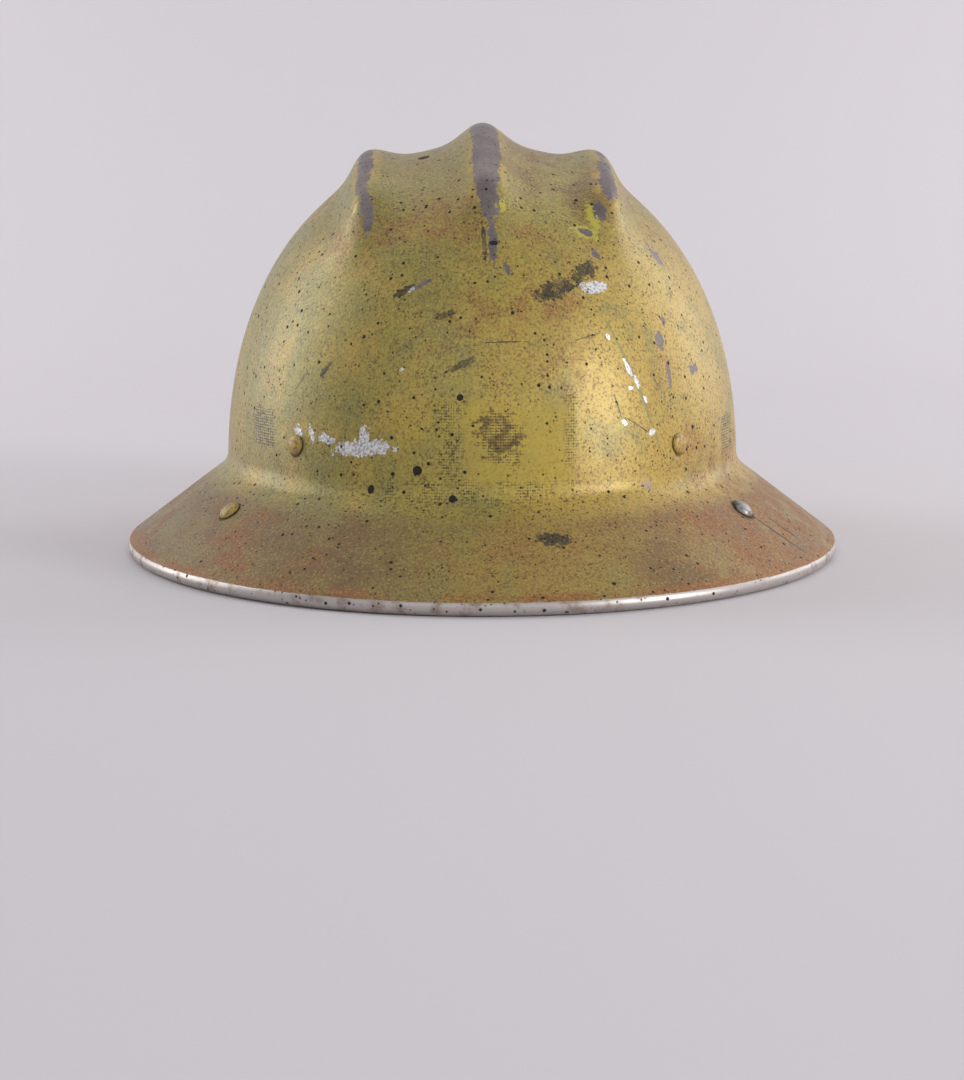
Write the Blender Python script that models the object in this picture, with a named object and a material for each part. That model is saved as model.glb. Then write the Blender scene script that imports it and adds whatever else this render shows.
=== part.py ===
"""Full-brim aluminium hard hat with three drawn ridges, its strap suspension and its chin loops.

Metres, +Z up, front facing -Y, left (+X) is the wearer's left. The rolled edge of the brim rests on Z = 0.
"""

import math

import bmesh
import bpy
from mathutils import Matrix, Vector

MM = 0.001

# Crown, measured on its outer face: a superellipsoid standing on the brim.
CROWN_HALF_WIDTH = 0.1006
CROWN_HALF_LENGTH = 0.116
CROWN_BASE = 0.030
CROWN_RISE = 0.126
CROWN_POWER = 2.2
CROWN_RING_HEIGHTS = (0.105, 0.092, 0.078, 0.064, 0.050)
SHEET_THICKNESS = 0.0013

# Ridges drawn into the crown, running front to back.
CENTRE_RIDGE_RISE = 0.0088
CENTRE_RIDGE_SPREAD = 0.0072
CENTRE_RIDGE_FADE = (0.066, 0.093)
SIDE_RIDGE_PLACE = 0.042
SIDE_RIDGE_RISE = 0.0074
SIDE_RIDGE_SPREAD = 0.0060
SIDE_RIDGE_FADE = (0.052, 0.078)
CROWN_LINES = (0.0, 0.0065, 0.013, 0.022, 0.032, 0.037, 0.042, 0.047, 0.052, 0.058)
CORNER_TURN = math.radians(49.2)
SIDE_LINE_COUNT = 16

# Brim, fillet and rolled edge.
BRIM_JOINT_HEIGHT = 0.034
BRIM_FILLET = 0.009
BRIM_REACH = 0.0395
BEAD_RADIUS = 0.003
BEAD_FLAT_HALF_ANGLE = 15
BEAD_END_ANGLE = -238

# Rivets through the shell. Turns are counted from the front round to the side.
CROWN_RIVET_TURN = math.radians(43.5)
CROWN_RIVET_HEIGHT = 0.049
BRIM_RIVET_TURN = math.radians(54.8)
BRIM_RIVET_REACH = 0.014
GAP = 0.0003
SHANK_RADIUS = 0.002

# Suspension.
WEBBING_WIDTH = 0.019
HANGER_WIDTH = 0.026
HANGER_THICKNESS = 0.0012
WALL_CURVE_RADIUS = 0.105
SLOT_WIDTH = 0.0205
SLOT_HEIGHT = 0.003
SLOT_PLACE = 0.012
CROWN_STRAP_THICKNESS = 0.0014
TAB_THICKNESS = 0.0012
STRAP_TOP = 0.1195
BAND_HALF_WIDTH = 0.0775
BAND_END_LENGTH = 0.070
BAND_END_CENTRE = 0.028
BAND_THICKNESS = 0.0016
NAPE_THICKNESS = 0.0014
NAPE_HALF_WIDTH = BAND_HALF_WIDTH + GAP + NAPE_THICKNESS
TAB_RIVET_HEIGHT = 0.0175
SIZE_STUD_Y = 0.008
SIZE_STUD_HEIGHT = 0.0305

# Chin loops.
BRACKET_DEPTH = 0.0024
KNUCKLE_INBOARD = 0.009
KNUCKLE_RADIUS = 0.002
WIRE_RADIUS = 0.0011
LOOP_HALF_WIDTH = 0.0086
LOOP_DROP = 0.0112

ENDS = {"front": -1, "rear": 1}
SIDES = {"left": 1, "right": -1}


def clear_scene():
    for item in list(bpy.data.objects):
        bpy.data.objects.remove(item, do_unlink=True)


def make_material(name, colour, roughness, metallic):
    material = bpy.data.materials.new(name)
    material.use_nodes = True
    shader = material.node_tree.nodes["Principled BSDF"]
    shader.inputs["Base Color"].default_value = (*colour, 1.0)
    shader.inputs["Roughness"].default_value = roughness
    shader.inputs["Metallic"].default_value = metallic
    material.diffuse_color = (*colour, 1.0)
    return material


def add_object(name, data, frame=None, material=None):
    item = bpy.data.objects.new(name, data)
    bpy.context.scene.collection.objects.link(item)
    if frame is not None:
        item.matrix_world = frame
    if material is not None:
        data.materials.append(material)
    return item


def mesh_from(shape, name):
    mesh = bpy.data.meshes.new(name)
    shape.to_mesh(mesh)
    shape.free()
    return mesh


def smooth(item, angle=40):
    item.data.shade_smooth()
    item.data.set_sharp_from_angle(angle=math.radians(angle))


def sheet_mesh(name, rows):
    """Joins rows of points, all of one length, into an open sheet."""
    shape = bmesh.new()
    grid = [[shape.verts.new(point) for point in row] for row in rows]
    for row, following in zip(grid, grid[1:]):
        for column in range(len(row) - 1):
            shape.faces.new((row[column], row[column + 1], following[column + 1], following[column]))
    return mesh_from(shape, name)


def thicken(item, thickness, offset=0.0):
    """Offset 0 puts half the thickness on each side, and -1 puts it all behind the faces."""
    solid = item.modifiers.new("thickness", "SOLIDIFY")
    solid.thickness = thickness
    solid.offset = offset
    solid.use_even_offset = True
    solid.use_quality_normals = True


def strip(name, rows, thickness, material, frame=None):
    item = add_object(name, sheet_mesh(name, rows), frame, material)
    thicken(item, thickness)
    smooth(item, 50)
    return item


def hide_cutter(item):
    item.hide_render = True
    item.display_type = "WIRE"


def cut(item, cutter):
    step = item.modifiers.new("cut " + cutter.name, "BOOLEAN")
    step.operation = "DIFFERENCE"
    step.solver = "EXACT"
    step.object = cutter


def round_cutter(name, frame, radius, near, far, segments=16):
    """A cylinder along the frame's Z axis, from near to far."""
    shape = bmesh.new()
    bmesh.ops.create_cone(
        shape,
        cap_ends=True,
        segments=segments,
        radius1=radius,
        radius2=radius,
        depth=abs(far - near),
        matrix=Matrix.Translation((0, 0, (near + far) / 2)),
    )
    cutter = add_object(name, mesh_from(shape, name), frame)
    hide_cutter(cutter)
    return cutter


def box_cutter(name, frame, size, centre):
    shape = bmesh.new()
    bmesh.ops.create_cube(shape, size=1.0, matrix=Matrix.Translation(centre) @ Matrix.Diagonal((*size, 1)))
    cutter = add_object(name, mesh_from(shape, name), frame)
    hide_cutter(cutter)
    return cutter


def turned(name, profile, material, frame=None, segments=20):
    """Turns a (radius, height) profile, given from its top on the axis down to its foot on the axis."""
    shape = bmesh.new()
    line = [shape.verts.new((radius, 0, height)) for radius, height in profile]
    edges = [shape.edges.new(pair) for pair in zip(line, line[1:])]
    bmesh.ops.spin(
        shape,
        geom=line + edges,
        cent=(0, 0, 0),
        axis=(0, 0, 1),
        angle=math.tau,
        steps=segments,
        use_merge=True,
    )
    bmesh.ops.remove_doubles(shape, verts=shape.verts, dist=0.00001)
    bmesh.ops.recalc_face_normals(shape, faces=shape.faces)
    item = add_object(name, mesh_from(shape, name), frame, material)
    smooth(item)
    return item


def rivet(name, frame, head_radius, head_rise, grip, shank, tail_radius, tail_rise, material, segments=20):
    """A dome head standing a gap above Z = 0, a shank down to the grip, and a closed tail past it."""
    tail = -(grip + GAP)
    profile = (
        (0, GAP + head_rise),
        (0.38 * head_radius, GAP + 0.93 * head_rise),
        (0.72 * head_radius, GAP + 0.68 * head_rise),
        (0.94 * head_radius, GAP + 0.3 * head_rise),
        (head_radius, GAP),
        (shank, GAP),
        (shank, tail),
        (tail_radius, tail),
        (0.85 * tail_radius, tail - tail_rise),
        (0, tail - tail_rise),
    )
    return turned(name, profile, material, frame, segments)


def upright_frame(origin, outward):
    """X across, Y up and Z outward, all level."""
    outward = Vector((outward.x, outward.y, 0)).normalized()
    across = Vector((0, 0, 1)).cross(outward)
    return frame_of(origin, across, Vector((0, 0, 1)), outward)


def frame_of(origin, x_axis, y_axis, z_axis):
    frame = Matrix((x_axis, y_axis, z_axis)).transposed().to_4x4()
    frame.translation = origin
    return frame


def surface_frame(origin, normal):
    """X level and across, Y up the surface and Z out of it."""
    across = Vector((0, 0, 1)).cross(normal).normalized()
    return frame_of(origin, across, normal.cross(across), normal)


# The shell's shape.


def crown_spread(height):
    """The share of its full size that the crown's outline has left at a height."""
    rise = max(0.0, (height - CROWN_BASE) / CROWN_RISE)
    return max(0.0, 1 - rise**CROWN_POWER) ** (1 / CROWN_POWER)


def crown_normal(point):
    plan = math.hypot(point.x / CROWN_HALF_WIDTH, point.y / CROWN_HALF_LENGTH)
    rise = max(0.0, (point.z - CROWN_BASE) / CROWN_RISE)
    if plan < 1e-9:
        return Vector((0, 0, 1))
    slope = plan ** (CROWN_POWER - 2)
    return Vector(
        (
            slope * point.x / CROWN_HALF_WIDTH**2,
            slope * point.y / CROWN_HALF_LENGTH**2,
            rise ** (CROWN_POWER - 1) / CROWN_RISE,
        )
    ).normalized()


def fade(distance, limits):
    """1 up to the first limit, 0 past the second, and a smooth step between."""
    share = min(1.0, max(0.0, (limits[1] - distance) / (limits[1] - limits[0])))
    return share * share * (3 - 2 * share)


def ridge_rise(point):
    centre = CENTRE_RIDGE_RISE * math.exp(-0.5 * (point.x / CENTRE_RIDGE_SPREAD) ** 2)
    away = abs(point.x) - SIDE_RIDGE_PLACE
    side = SIDE_RIDGE_RISE * math.exp(-0.5 * (away / SIDE_RIDGE_SPREAD) ** 2)
    return centre * fade(abs(point.y), CENTRE_RIDGE_FADE) + side * fade(abs(point.y), SIDE_RIDGE_FADE)


def crown_top_point(x, y):
    plan = math.hypot(x / CROWN_HALF_WIDTH, y / CROWN_HALF_LENGTH)
    height = CROWN_BASE + CROWN_RISE * (1 - plan**CROWN_POWER) ** (1 / CROWN_POWER)
    point = Vector((x, y, height))
    return point + ridge_rise(point) * crown_normal(point)


def crown_wall_point(turn, height):
    spread = crown_spread(height)
    return Vector(
        (
            CROWN_HALF_WIDTH * spread * math.sin(turn),
            -CROWN_HALF_LENGTH * spread * math.cos(turn),
            height,
        )
    )


def brim_point(turn, reach, height):
    return Vector(
        (
            (CROWN_HALF_WIDTH + reach) * math.sin(turn),
            -(CROWN_HALF_LENGTH + reach) * math.cos(turn),
            height,
        )
    )


def bead_centre():
    """(reach, height) of the middle of the rolled edge, whose lowest facet lies on Z = 0."""
    return BRIM_REACH - BEAD_RADIUS, BEAD_RADIUS * math.cos(math.radians(BEAD_FLAT_HALF_ANGLE))


def brim_slope():
    """The angle below level of the line from the crown's foot that just touches the rolled edge."""
    reach, height = bead_centre()
    drop = BRIM_JOINT_HEIGHT - height
    return math.atan2(drop, reach) - math.asin(BEAD_RADIUS / math.hypot(reach, drop))


def brim_profile():
    """(reach, height) pairs from the top of the fillet, over the brim and round the rolled edge."""
    slope = brim_slope()
    turn = math.pi / 2 - slope
    run = BRIM_FILLET * math.tan(turn / 2)
    centre = Vector((BRIM_FILLET, BRIM_JOINT_HEIGHT + run))
    pairs = []
    for step in range(4):
        angle = math.pi + turn * step / 3
        pairs.append((centre.x + BRIM_FILLET * math.cos(angle), centre.y + BRIM_FILLET * math.sin(angle)))
    bead_reach, bead_height = bead_centre()
    start = math.pi / 2 - slope
    touch = Vector((bead_reach + BEAD_RADIUS * math.cos(start), bead_height + BEAD_RADIUS * math.sin(start)))
    foot = Vector(pairs[-1])
    pairs.extend(tuple(foot.lerp(touch, share)) for share in (1 / 3, 2 / 3))
    flat = math.radians(BEAD_FLAT_HALF_ANGLE)
    outer = [start + (-math.pi / 2 + flat - start) * step / 4 for step in range(5)]
    last = math.radians(BEAD_END_ANGLE)
    inner = [-math.pi / 2 - flat + (last + math.pi / 2 + flat) * step / 4 for step in range(5)]
    for angle in outer + inner:
        pairs.append((bead_reach + BEAD_RADIUS * math.cos(angle), bead_height + BEAD_RADIUS * math.sin(angle)))
    return pairs


def crown_grid():
    """Points over the crown's top, in lines that run along the ridges and spread to meet a level ring."""
    spread = crown_spread(CROWN_RING_HEIGHTS[0])
    half_width = CROWN_HALF_WIDTH * spread
    half_length = CROWN_HALF_LENGTH * spread
    corner_x = half_width * math.sin(CORNER_TURN)
    corner_y = half_length * math.cos(CORNER_TURN)
    across = list(CROWN_LINES) + [corner_x]
    across = [-x for x in across[:0:-1]] + across
    turns = [
        CORNER_TURN + (math.pi - 2 * CORNER_TURN) * step / SIDE_LINE_COUNT
        for step in range(SIDE_LINE_COUNT + 1)
    ]
    rows = []
    for turn in turns:
        line_y = -half_length * math.cos(turn)
        row = []
        for line_x in across:
            end_y = half_length * math.sqrt(1 - (line_x / half_width) ** 2)
            side_x = half_width * math.sqrt(1 - (line_y / half_length) ** 2)
            x = line_x + math.copysign((side_x - corner_x) * abs(line_x / corner_x) ** 5, line_x)
            y = line_y + math.copysign((end_y - corner_y) * abs(line_y / corner_y) ** 1.6, line_y)
            row.append((x, y))
        rows.append(row)
    return rows


def build_shell(material):
    shape = bmesh.new()
    rows = crown_grid()
    grid = [[shape.verts.new(crown_top_point(x, y)) for x, y in row] for row in rows]
    for row, following in zip(grid, grid[1:]):
        for column in range(len(row) - 1):
            shape.faces.new((row[column], row[column + 1], following[column + 1], following[column]))
    last_row = len(grid) - 1
    last_column = len(grid[0]) - 1
    border = [(0, column) for column in range(last_column)]
    border += [(row, last_column) for row in range(last_row)]
    border += [(last_row, column) for column in range(last_column, 0, -1)]
    border += [(row, 0) for row in range(last_row, 0, -1)]
    ring = [grid[row][column] for row, column in border]
    spread = crown_spread(CROWN_RING_HEIGHTS[0])
    turns = [
        math.atan2(
            rows[row][column][0] / (CROWN_HALF_WIDTH * spread),
            -rows[row][column][1] / (CROWN_HALF_LENGTH * spread),
        )
        for row, column in border
    ]
    levels = [[crown_wall_point(turn, height) for turn in turns] for height in CROWN_RING_HEIGHTS[1:]]
    levels += [[brim_point(turn, reach, height) for turn in turns] for reach, height in brim_profile()]
    for level in levels:
        lower = [shape.verts.new(point) for point in level]
        for place in range(len(ring)):
            after = (place + 1) % len(ring)
            shape.faces.new((ring[place], lower[place], lower[after], ring[after]))
        ring = lower
    shell = add_object("shell", mesh_from(shape, "shell"), None, material)
    thicken(shell, SHEET_THICKNESS, -1.0)
    smooth(shell, 55)
    return shell


# Places on the shell that the other pieces are built from.


def side_turn(turn, end, side):
    """A turn counted from the front middle, carried to one of the four corners."""
    return side * turn if end < 0 else side * (math.pi - turn)


def rivet_frame(end, side):
    turn = side_turn(CROWN_RIVET_TURN, end, side)
    point = crown_wall_point(turn, CROWN_RIVET_HEIGHT)
    return surface_frame(point, crown_normal(point))


def wall_frame(end, side):
    """The same place as the rivet frame, but standing upright."""
    leaning = rivet_frame(end, side)
    return upright_frame(leaning.translation, leaning.col[2].to_3d())


def brim_frame(side):
    turn = side * BRIM_RIVET_TURN
    slope = brim_slope()
    height = BRIM_JOINT_HEIGHT - BRIM_RIVET_REACH * math.tan(slope)
    point = brim_point(turn, BRIM_RIVET_REACH, height)
    level = Vector(
        (
            math.sin(turn) / (CROWN_HALF_WIDTH + BRIM_RIVET_REACH),
            -math.cos(turn) / (CROWN_HALF_LENGTH + BRIM_RIVET_REACH),
            0,
        )
    ).normalized()
    normal = math.sin(slope) * level + Vector((0, 0, math.cos(slope)))
    return surface_frame(point, normal)


def band_depth(frame, end):
    """How far in from an upright frame a level line meets the outer face of the band at that end."""
    half_width = BAND_HALF_WIDTH if end < 0 else NAPE_HALF_WIDTH
    outward = frame.col[2].to_3d()
    start_x = frame.translation.x / half_width
    start_y = (frame.translation.y - end * BAND_END_CENTRE) / BAND_END_LENGTH
    step_x = -outward.x / half_width
    step_y = -outward.y / BAND_END_LENGTH
    square = step_x**2 + step_y**2
    half_linear = start_x * step_x + start_y * step_y
    constant = start_x**2 + start_y**2 - 1
    return (-half_linear - math.sqrt(half_linear**2 - square * constant)) / square


# Crown suspension.


def build_hanger(name, frame, material):
    side_path = ((16.5, 5.8), (8.5, 5.8), (5.5, 2.5), (0, 2.5))
    path = list(side_path) + [(-height, depth) for height, depth in side_path[-2::-1]]
    places = [HANGER_WIDTH * share for share in (-0.5, -0.25, 0, 0.25, 0.5)]
    rows = []
    for h, d in path:
        rows.append([(x, h * MM, -d * MM - x * x / (2 * WALL_CURVE_RADIUS)) for x in places])
    item = strip(name, rows, HANGER_THICKNESS, material, frame)
    cut(item, round_cutter(name + "_hole", frame, SHANK_RADIUS + GAP, -0.006, 0.001))
    for label, place in (("upper", SLOT_PLACE), ("lower", -SLOT_PLACE)):
        cutter = box_cutter(
            name + "_slot_" + label, frame, (SLOT_WIDTH, SLOT_HEIGHT, 0.006), (0, place, -0.0058)
        )
        cut(item, cutter)
    return item


def strap_end(frame, flip):
    """Centre points and across directions from the sewn tail, through the slot, and up inside."""
    path = (
        (27, 6.5),
        (21, 6.3),
        (18.1, 3.8),
        (13.1, 3.6),
        (12.3, 3.9),
        (12, 4.6),
        (12, 7.0),
        (12.3, 7.7),
        (13.1, 8.0),
        (21, 8.0),
        (28, 8.4),
    )
    across = flip * frame.col[0].to_3d()
    return [(frame @ Vector((0, h * MM, -d * MM)), across) for h, d in path]


def strap_rise(frame, flip, lift):
    """The run from above a hanger up to the middle of the crown."""
    outward = Vector((frame.translation.x, frame.translation.y, 0)).normalized()
    level_across = Vector((0, 0, 1)).cross(outward) * flip
    hanger_across = flip * frame.col[0].to_3d()
    run = (
        (95.0, 84.5, 0.75, 0),
        (87.0, 94.5, 0.4, 0),
        (75.5, 103.5, 0.1, 0),
        (60.0, 110.5, 0, 0),
        (40.0, 116.0, 0, 0.15),
        (28.0, 118.0, 0, 0.7),
        (17.0, 119.2, 0, 1),
    )
    points = []
    for radius, height, share, lifted in run:
        across = level_across.lerp(hanger_across, share).normalized()
        centre = outward * radius * MM + Vector((0, 0, height * MM + lift * lifted))
        points.append((centre, across))
    return points


def build_crown_strap(name, first, second, lift, material):
    """Webbing from one hanger over the head to the hanger across from it."""
    up = strap_end(first, 1) + strap_rise(first, 1, lift)
    down = strap_end(second, -1) + strap_rise(second, -1, lift)
    top = (Vector((0, 0, STRAP_TOP + lift)), up[-1][1])
    half = WEBBING_WIDTH / 2
    path = up + [top] + down[::-1]
    rows = [[centre - across * half, centre + across * half] for centre, across in path]
    return strip(name, rows, CROWN_STRAP_THICKNESS, material)


def build_crown_pad(material):
    """A dished leather disc under the place where the straps cross."""
    top = STRAP_TOP - CROWN_STRAP_THICKNESS / 2 - GAP
    profile = (
        (0, top),
        (0.017, top - 0.0005),
        (0.028, top - 0.0022),
        (0.0325, top - 0.0034),
        (0.0335, top - 0.0043),
        (0.0325, top - 0.0052),
        (0.028, top - 0.0046),
        (0.017, top - 0.0030),
        (0, top - 0.0025),
    )
    return turned("crown_pad", profile, material, None, 32)


# Headband and nape band.


def band_path(end, half_width, inset, straight_end, steps, span=math.pi / 2):
    """Plan points of a U, with straight arms when straight_end is given, from the right to the left."""
    width = half_width - inset
    length = BAND_END_LENGTH - inset
    arc = []
    for step in range(steps + 1):
        angle = -span + 2 * span * step / steps
        arc.append((width * math.sin(angle), end * (BAND_END_CENTRE + length * math.cos(angle))))
    if straight_end is None:
        return arc
    start = end * BAND_END_CENTRE
    shares = (1.0, 0.7, 0.5, 0.33, 0.22, 0.11)
    arm = [(width, start + (straight_end - start) * share) for share in shares]
    return [(-x, y) for x, y in arm] + arc + arm[::-1]


def band_edges(y, end, wide, narrow):
    """Lower and upper edges of a band: wide round the end of the head, narrow along the arms."""
    share = 1 - fade(end * y, (0.018, 0.046))
    return [narrow[i] + (wide[i] - narrow[i]) * share for i in (0, 1)]


def arm_frame(side, y, height, half_width):
    """On the outer face of a band's arm, with Z outward."""
    return upright_frame(Vector((side * half_width, y, height)), Vector((side, 0, 0)))


def tab_rivet_frame(end, side):
    frame = wall_frame(end, side)
    depth = band_depth(frame, end)
    place = Vector((0, TAB_RIVET_HEIGHT - CROWN_RIVET_HEIGHT, -depth))
    frame.translation = frame @ place
    return frame


def build_headband(material):
    rows = []
    for x, y in band_path(-1, BAND_HALF_WIDTH, BAND_THICKNESS / 2, 0.014, 24):
        lower, upper = band_edges(y, -1, (0.009, 0.0445), (0.021, 0.040))
        rows.append([(x, y, lower), (x, y, upper)])
    item = strip("headband", rows, BAND_THICKNESS, material)
    for side_name, side in SIDES.items():
        tab = round_cutter("headband_hole_" + side_name, tab_rivet_frame(-1, side), 0.0018, -0.004, 0.003, 12)
        frame = arm_frame(side, SIZE_STUD_Y, SIZE_STUD_HEIGHT, BAND_HALF_WIDTH)
        stud = round_cutter("headband_stud_hole_" + side_name, frame, 0.0018, -0.004, 0.002, 12)
        cut(item, tab)
        cut(item, stud)
    return item


def build_nape_band(material):
    rows = []
    for x, y in band_path(1, NAPE_HALF_WIDTH, NAPE_THICKNESS / 2, -0.015, 24):
        lower, upper = band_edges(y, 1, (0.012, 0.042), (0.023, 0.038))
        rows.append([(x, y, lower), (x, y, upper)])
    item = strip("nape_band", rows, NAPE_THICKNESS, material)
    for side_name, side in SIDES.items():
        tab = round_cutter("nape_hole_" + side_name, tab_rivet_frame(1, side), 0.0018, -0.004, 0.003, 12)
        cut(item, tab)
        frame = arm_frame(side, 0.011, SIZE_STUD_HEIGHT, NAPE_HALF_WIDTH)
        cut(item, box_cutter("nape_slot_" + side_name, frame, (0.019, 0.0036, 0.006), (0, 0, 0)))
    return item


def build_sweatband(material):
    """Leather lining inside the headband, folded under its lower edge to a short outer lip."""
    half = 0.0006
    inner = BAND_THICKNESS + 0.0015 + half
    middle = BAND_THICKNESS / 2
    section = (
        (inner, 0.0435),
        (inner, 0.026),
        (inner, 0.0105),
        (inner - 0.0009, 0.0085),
        (middle, 0.0075),
        (-GAP - half - 0.0001, 0.0084),
        (-GAP - half - 0.0003, 0.0098),
        (-GAP - half - 0.0003, 0.0125),
    )
    paths = [
        band_path(-1, BAND_HALF_WIDTH, inset, None, 24, math.radians(72)) for inset, height in section
    ]
    rows = []
    for place in range(len(paths[0])):
        rows.append([(*path[place], height) for path, (inset, height) in zip(paths, section)])
    return strip("sweatband", rows, 2 * half, material)


def build_nape_pad(material):
    """Leather pad inside the middle of the nape band."""
    thickness = 0.0024
    inset = NAPE_THICKNESS + 2 * GAP + thickness / 2
    rows = []
    for x, y in band_path(1, NAPE_HALF_WIDTH, inset, None, 14, math.radians(37)):
        share = min(1.0, (0.0478 - abs(x)) / 0.006)
        trim = 0.003 * (1 - math.sqrt(max(0.0, share)))
        rows.append([(x, y, 0.0145 + trim), (x, y, 0.0395 - trim)])
    return strip("nape_pad", rows, thickness, material)


def build_tab(name, end, side, material):
    """Webbing looped round a hanger's lower bar, with both ends riveted to the band."""
    leaning = rivet_frame(end, side)
    upright = wall_frame(end, side)
    depth = band_depth(upright, end) / MM
    inner = depth - 0.3 - 0.6
    outer = inner - 1.5
    band_inner = [upright @ Vector((0, h * MM, -inner * MM)) for h in (-35.2, -31.5, -25.5)]
    band_outer = [upright @ Vector((0, h * MM, -outer * MM)) for h in (-27.5, -31.5, -35.2)]
    loop_path = (
        (-16.0, 8.0),
        (-13.0, 7.8),
        (-12.3, 7.5),
        (-12.0, 6.9),
        (-12.0, 4.8),
        (-12.3, 4.2),
        (-13.0, 3.9),
        (-17.4, 4.2),
        (-18.4, 5.0),
    )
    loop = [leaning @ Vector((0, h * MM, -d * MM)) for h, d in loop_path]
    across = upright.col[0].to_3d() * WEBBING_WIDTH / 2
    rows = [[centre - across, centre + across] for centre in band_inner + loop + band_outer]
    item = strip(name, rows, TAB_THICKNESS, material)
    frame = tab_rivet_frame(end, side)
    cut(item, round_cutter(name + "_hole", frame, 0.0018, -0.001, 0.005, 12))
    return item


def build_tab_rivet(name, end, side, material):
    frame = tab_rivet_frame(end, side)
    frame.translation = frame @ Vector((0, 0, 0.003))
    band = BAND_THICKNESS if end < 0 else NAPE_THICKNESS
    return rivet(name, frame, 0.0027, 0.0011, 0.0033 + band, 0.0015, 0.0029, 0.0006, material, 12)


def build_size_keeper(name, side, material):
    """A flat loop round both bands that keeps the sliding arms together."""
    wall = 0.001
    shape = bmesh.new()
    inner_x = (BAND_HALF_WIDTH - BAND_THICKNESS - GAP - wall / 2, NAPE_HALF_WIDTH + 0.0004 + wall / 2)
    inner_z = (0.0207 - wall / 2, 0.0403 + wall / 2)
    corners = ((0, 0), (1, 0), (1, 1), (0, 1))
    rings = []
    for y in (-0.0085, -0.0015):
        rings.append([shape.verts.new((side * inner_x[i], y, inner_z[j])) for i, j in corners])
    for place in range(4):
        after = (place + 1) % 4
        shape.faces.new((rings[0][place], rings[0][after], rings[1][after], rings[1][place]))
    item = add_object(name, mesh_from(shape, name), None, material)
    thicken(item, wall)
    return item


def build_size_stud(name, side, material):
    frame = arm_frame(side, SIZE_STUD_Y, SIZE_STUD_HEIGHT, NAPE_HALF_WIDTH)
    grip = NAPE_THICKNESS + GAP + BAND_THICKNESS
    return rivet(name, frame, 0.0035, 0.0012, grip, 0.0015, 0.0032, 0.0008, material, 16)


# Chin loops.


def knuckle_place():
    """(inboard, depth) of the middle of the knuckle from the brim rivet, on the brim frame."""
    return KNUCKLE_INBOARD, BRACKET_DEPTH + KNUCKLE_RADIUS


def build_chin_bracket(name, side, material):
    frame = brim_frame(side)
    inboard, depth = knuckle_place()
    half = 0.0045
    path = [(-0.006, -BRACKET_DEPTH), (0.0, -BRACKET_DEPTH), (0.0055, -BRACKET_DEPTH)]
    for step in range(10):
        angle = math.radians(90 - 27 * step)
        path.append((inboard + KNUCKLE_RADIUS * math.cos(angle), -depth + KNUCKLE_RADIUS * math.sin(angle)))
    rows = [[(-half, y, z), (half, y, z)] for y, z in path]
    item = strip(name, rows, 0.0012, material, frame)
    cut(item, round_cutter(name + "_hole", frame, SHANK_RADIUS + GAP, -0.004, 0.001))
    return item


def chin_loop_frame(side):
    """On the knuckle's axis, with X along it and Z up."""
    frame = brim_frame(side)
    inboard, depth = knuckle_place()
    centre = frame @ Vector((0, inboard, -depth))
    across = frame.col[0].to_3d()
    up = Vector((0, 0, 1))
    return frame_of(centre, across, up.cross(across), up)


def build_chin_loop(name, side, material):
    """A wire rectangle with round corners, hanging from the knuckle by its upper side."""
    data = bpy.data.curves.new(name, "CURVE")
    data.dimensions = "3D"
    data.bevel_depth = WIRE_RADIUS
    data.bevel_resolution = 2
    corner = 0.0026
    middles = (
        (LOOP_HALF_WIDTH - corner, -corner, 90),
        (-LOOP_HALF_WIDTH + corner, -corner, 180),
        (-LOOP_HALF_WIDTH + corner, -LOOP_DROP + corner, 270),
        (LOOP_HALF_WIDTH - corner, -LOOP_DROP + corner, 360),
    )
    points = []
    for x, z, start in middles:
        for step in range(5):
            angle = math.radians(start - 90 + 90 * step / 4)
            points.append((x + corner * math.cos(angle), 0, z + corner * math.sin(angle)))
    line = data.splines.new("POLY")
    line.points.add(len(points) - 1)
    for point, place in zip(line.points, points):
        point.co = (*place, 1)
    line.use_cyclic_u = True
    item = add_object(name, data, chin_loop_frame(side), material)
    return item


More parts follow.
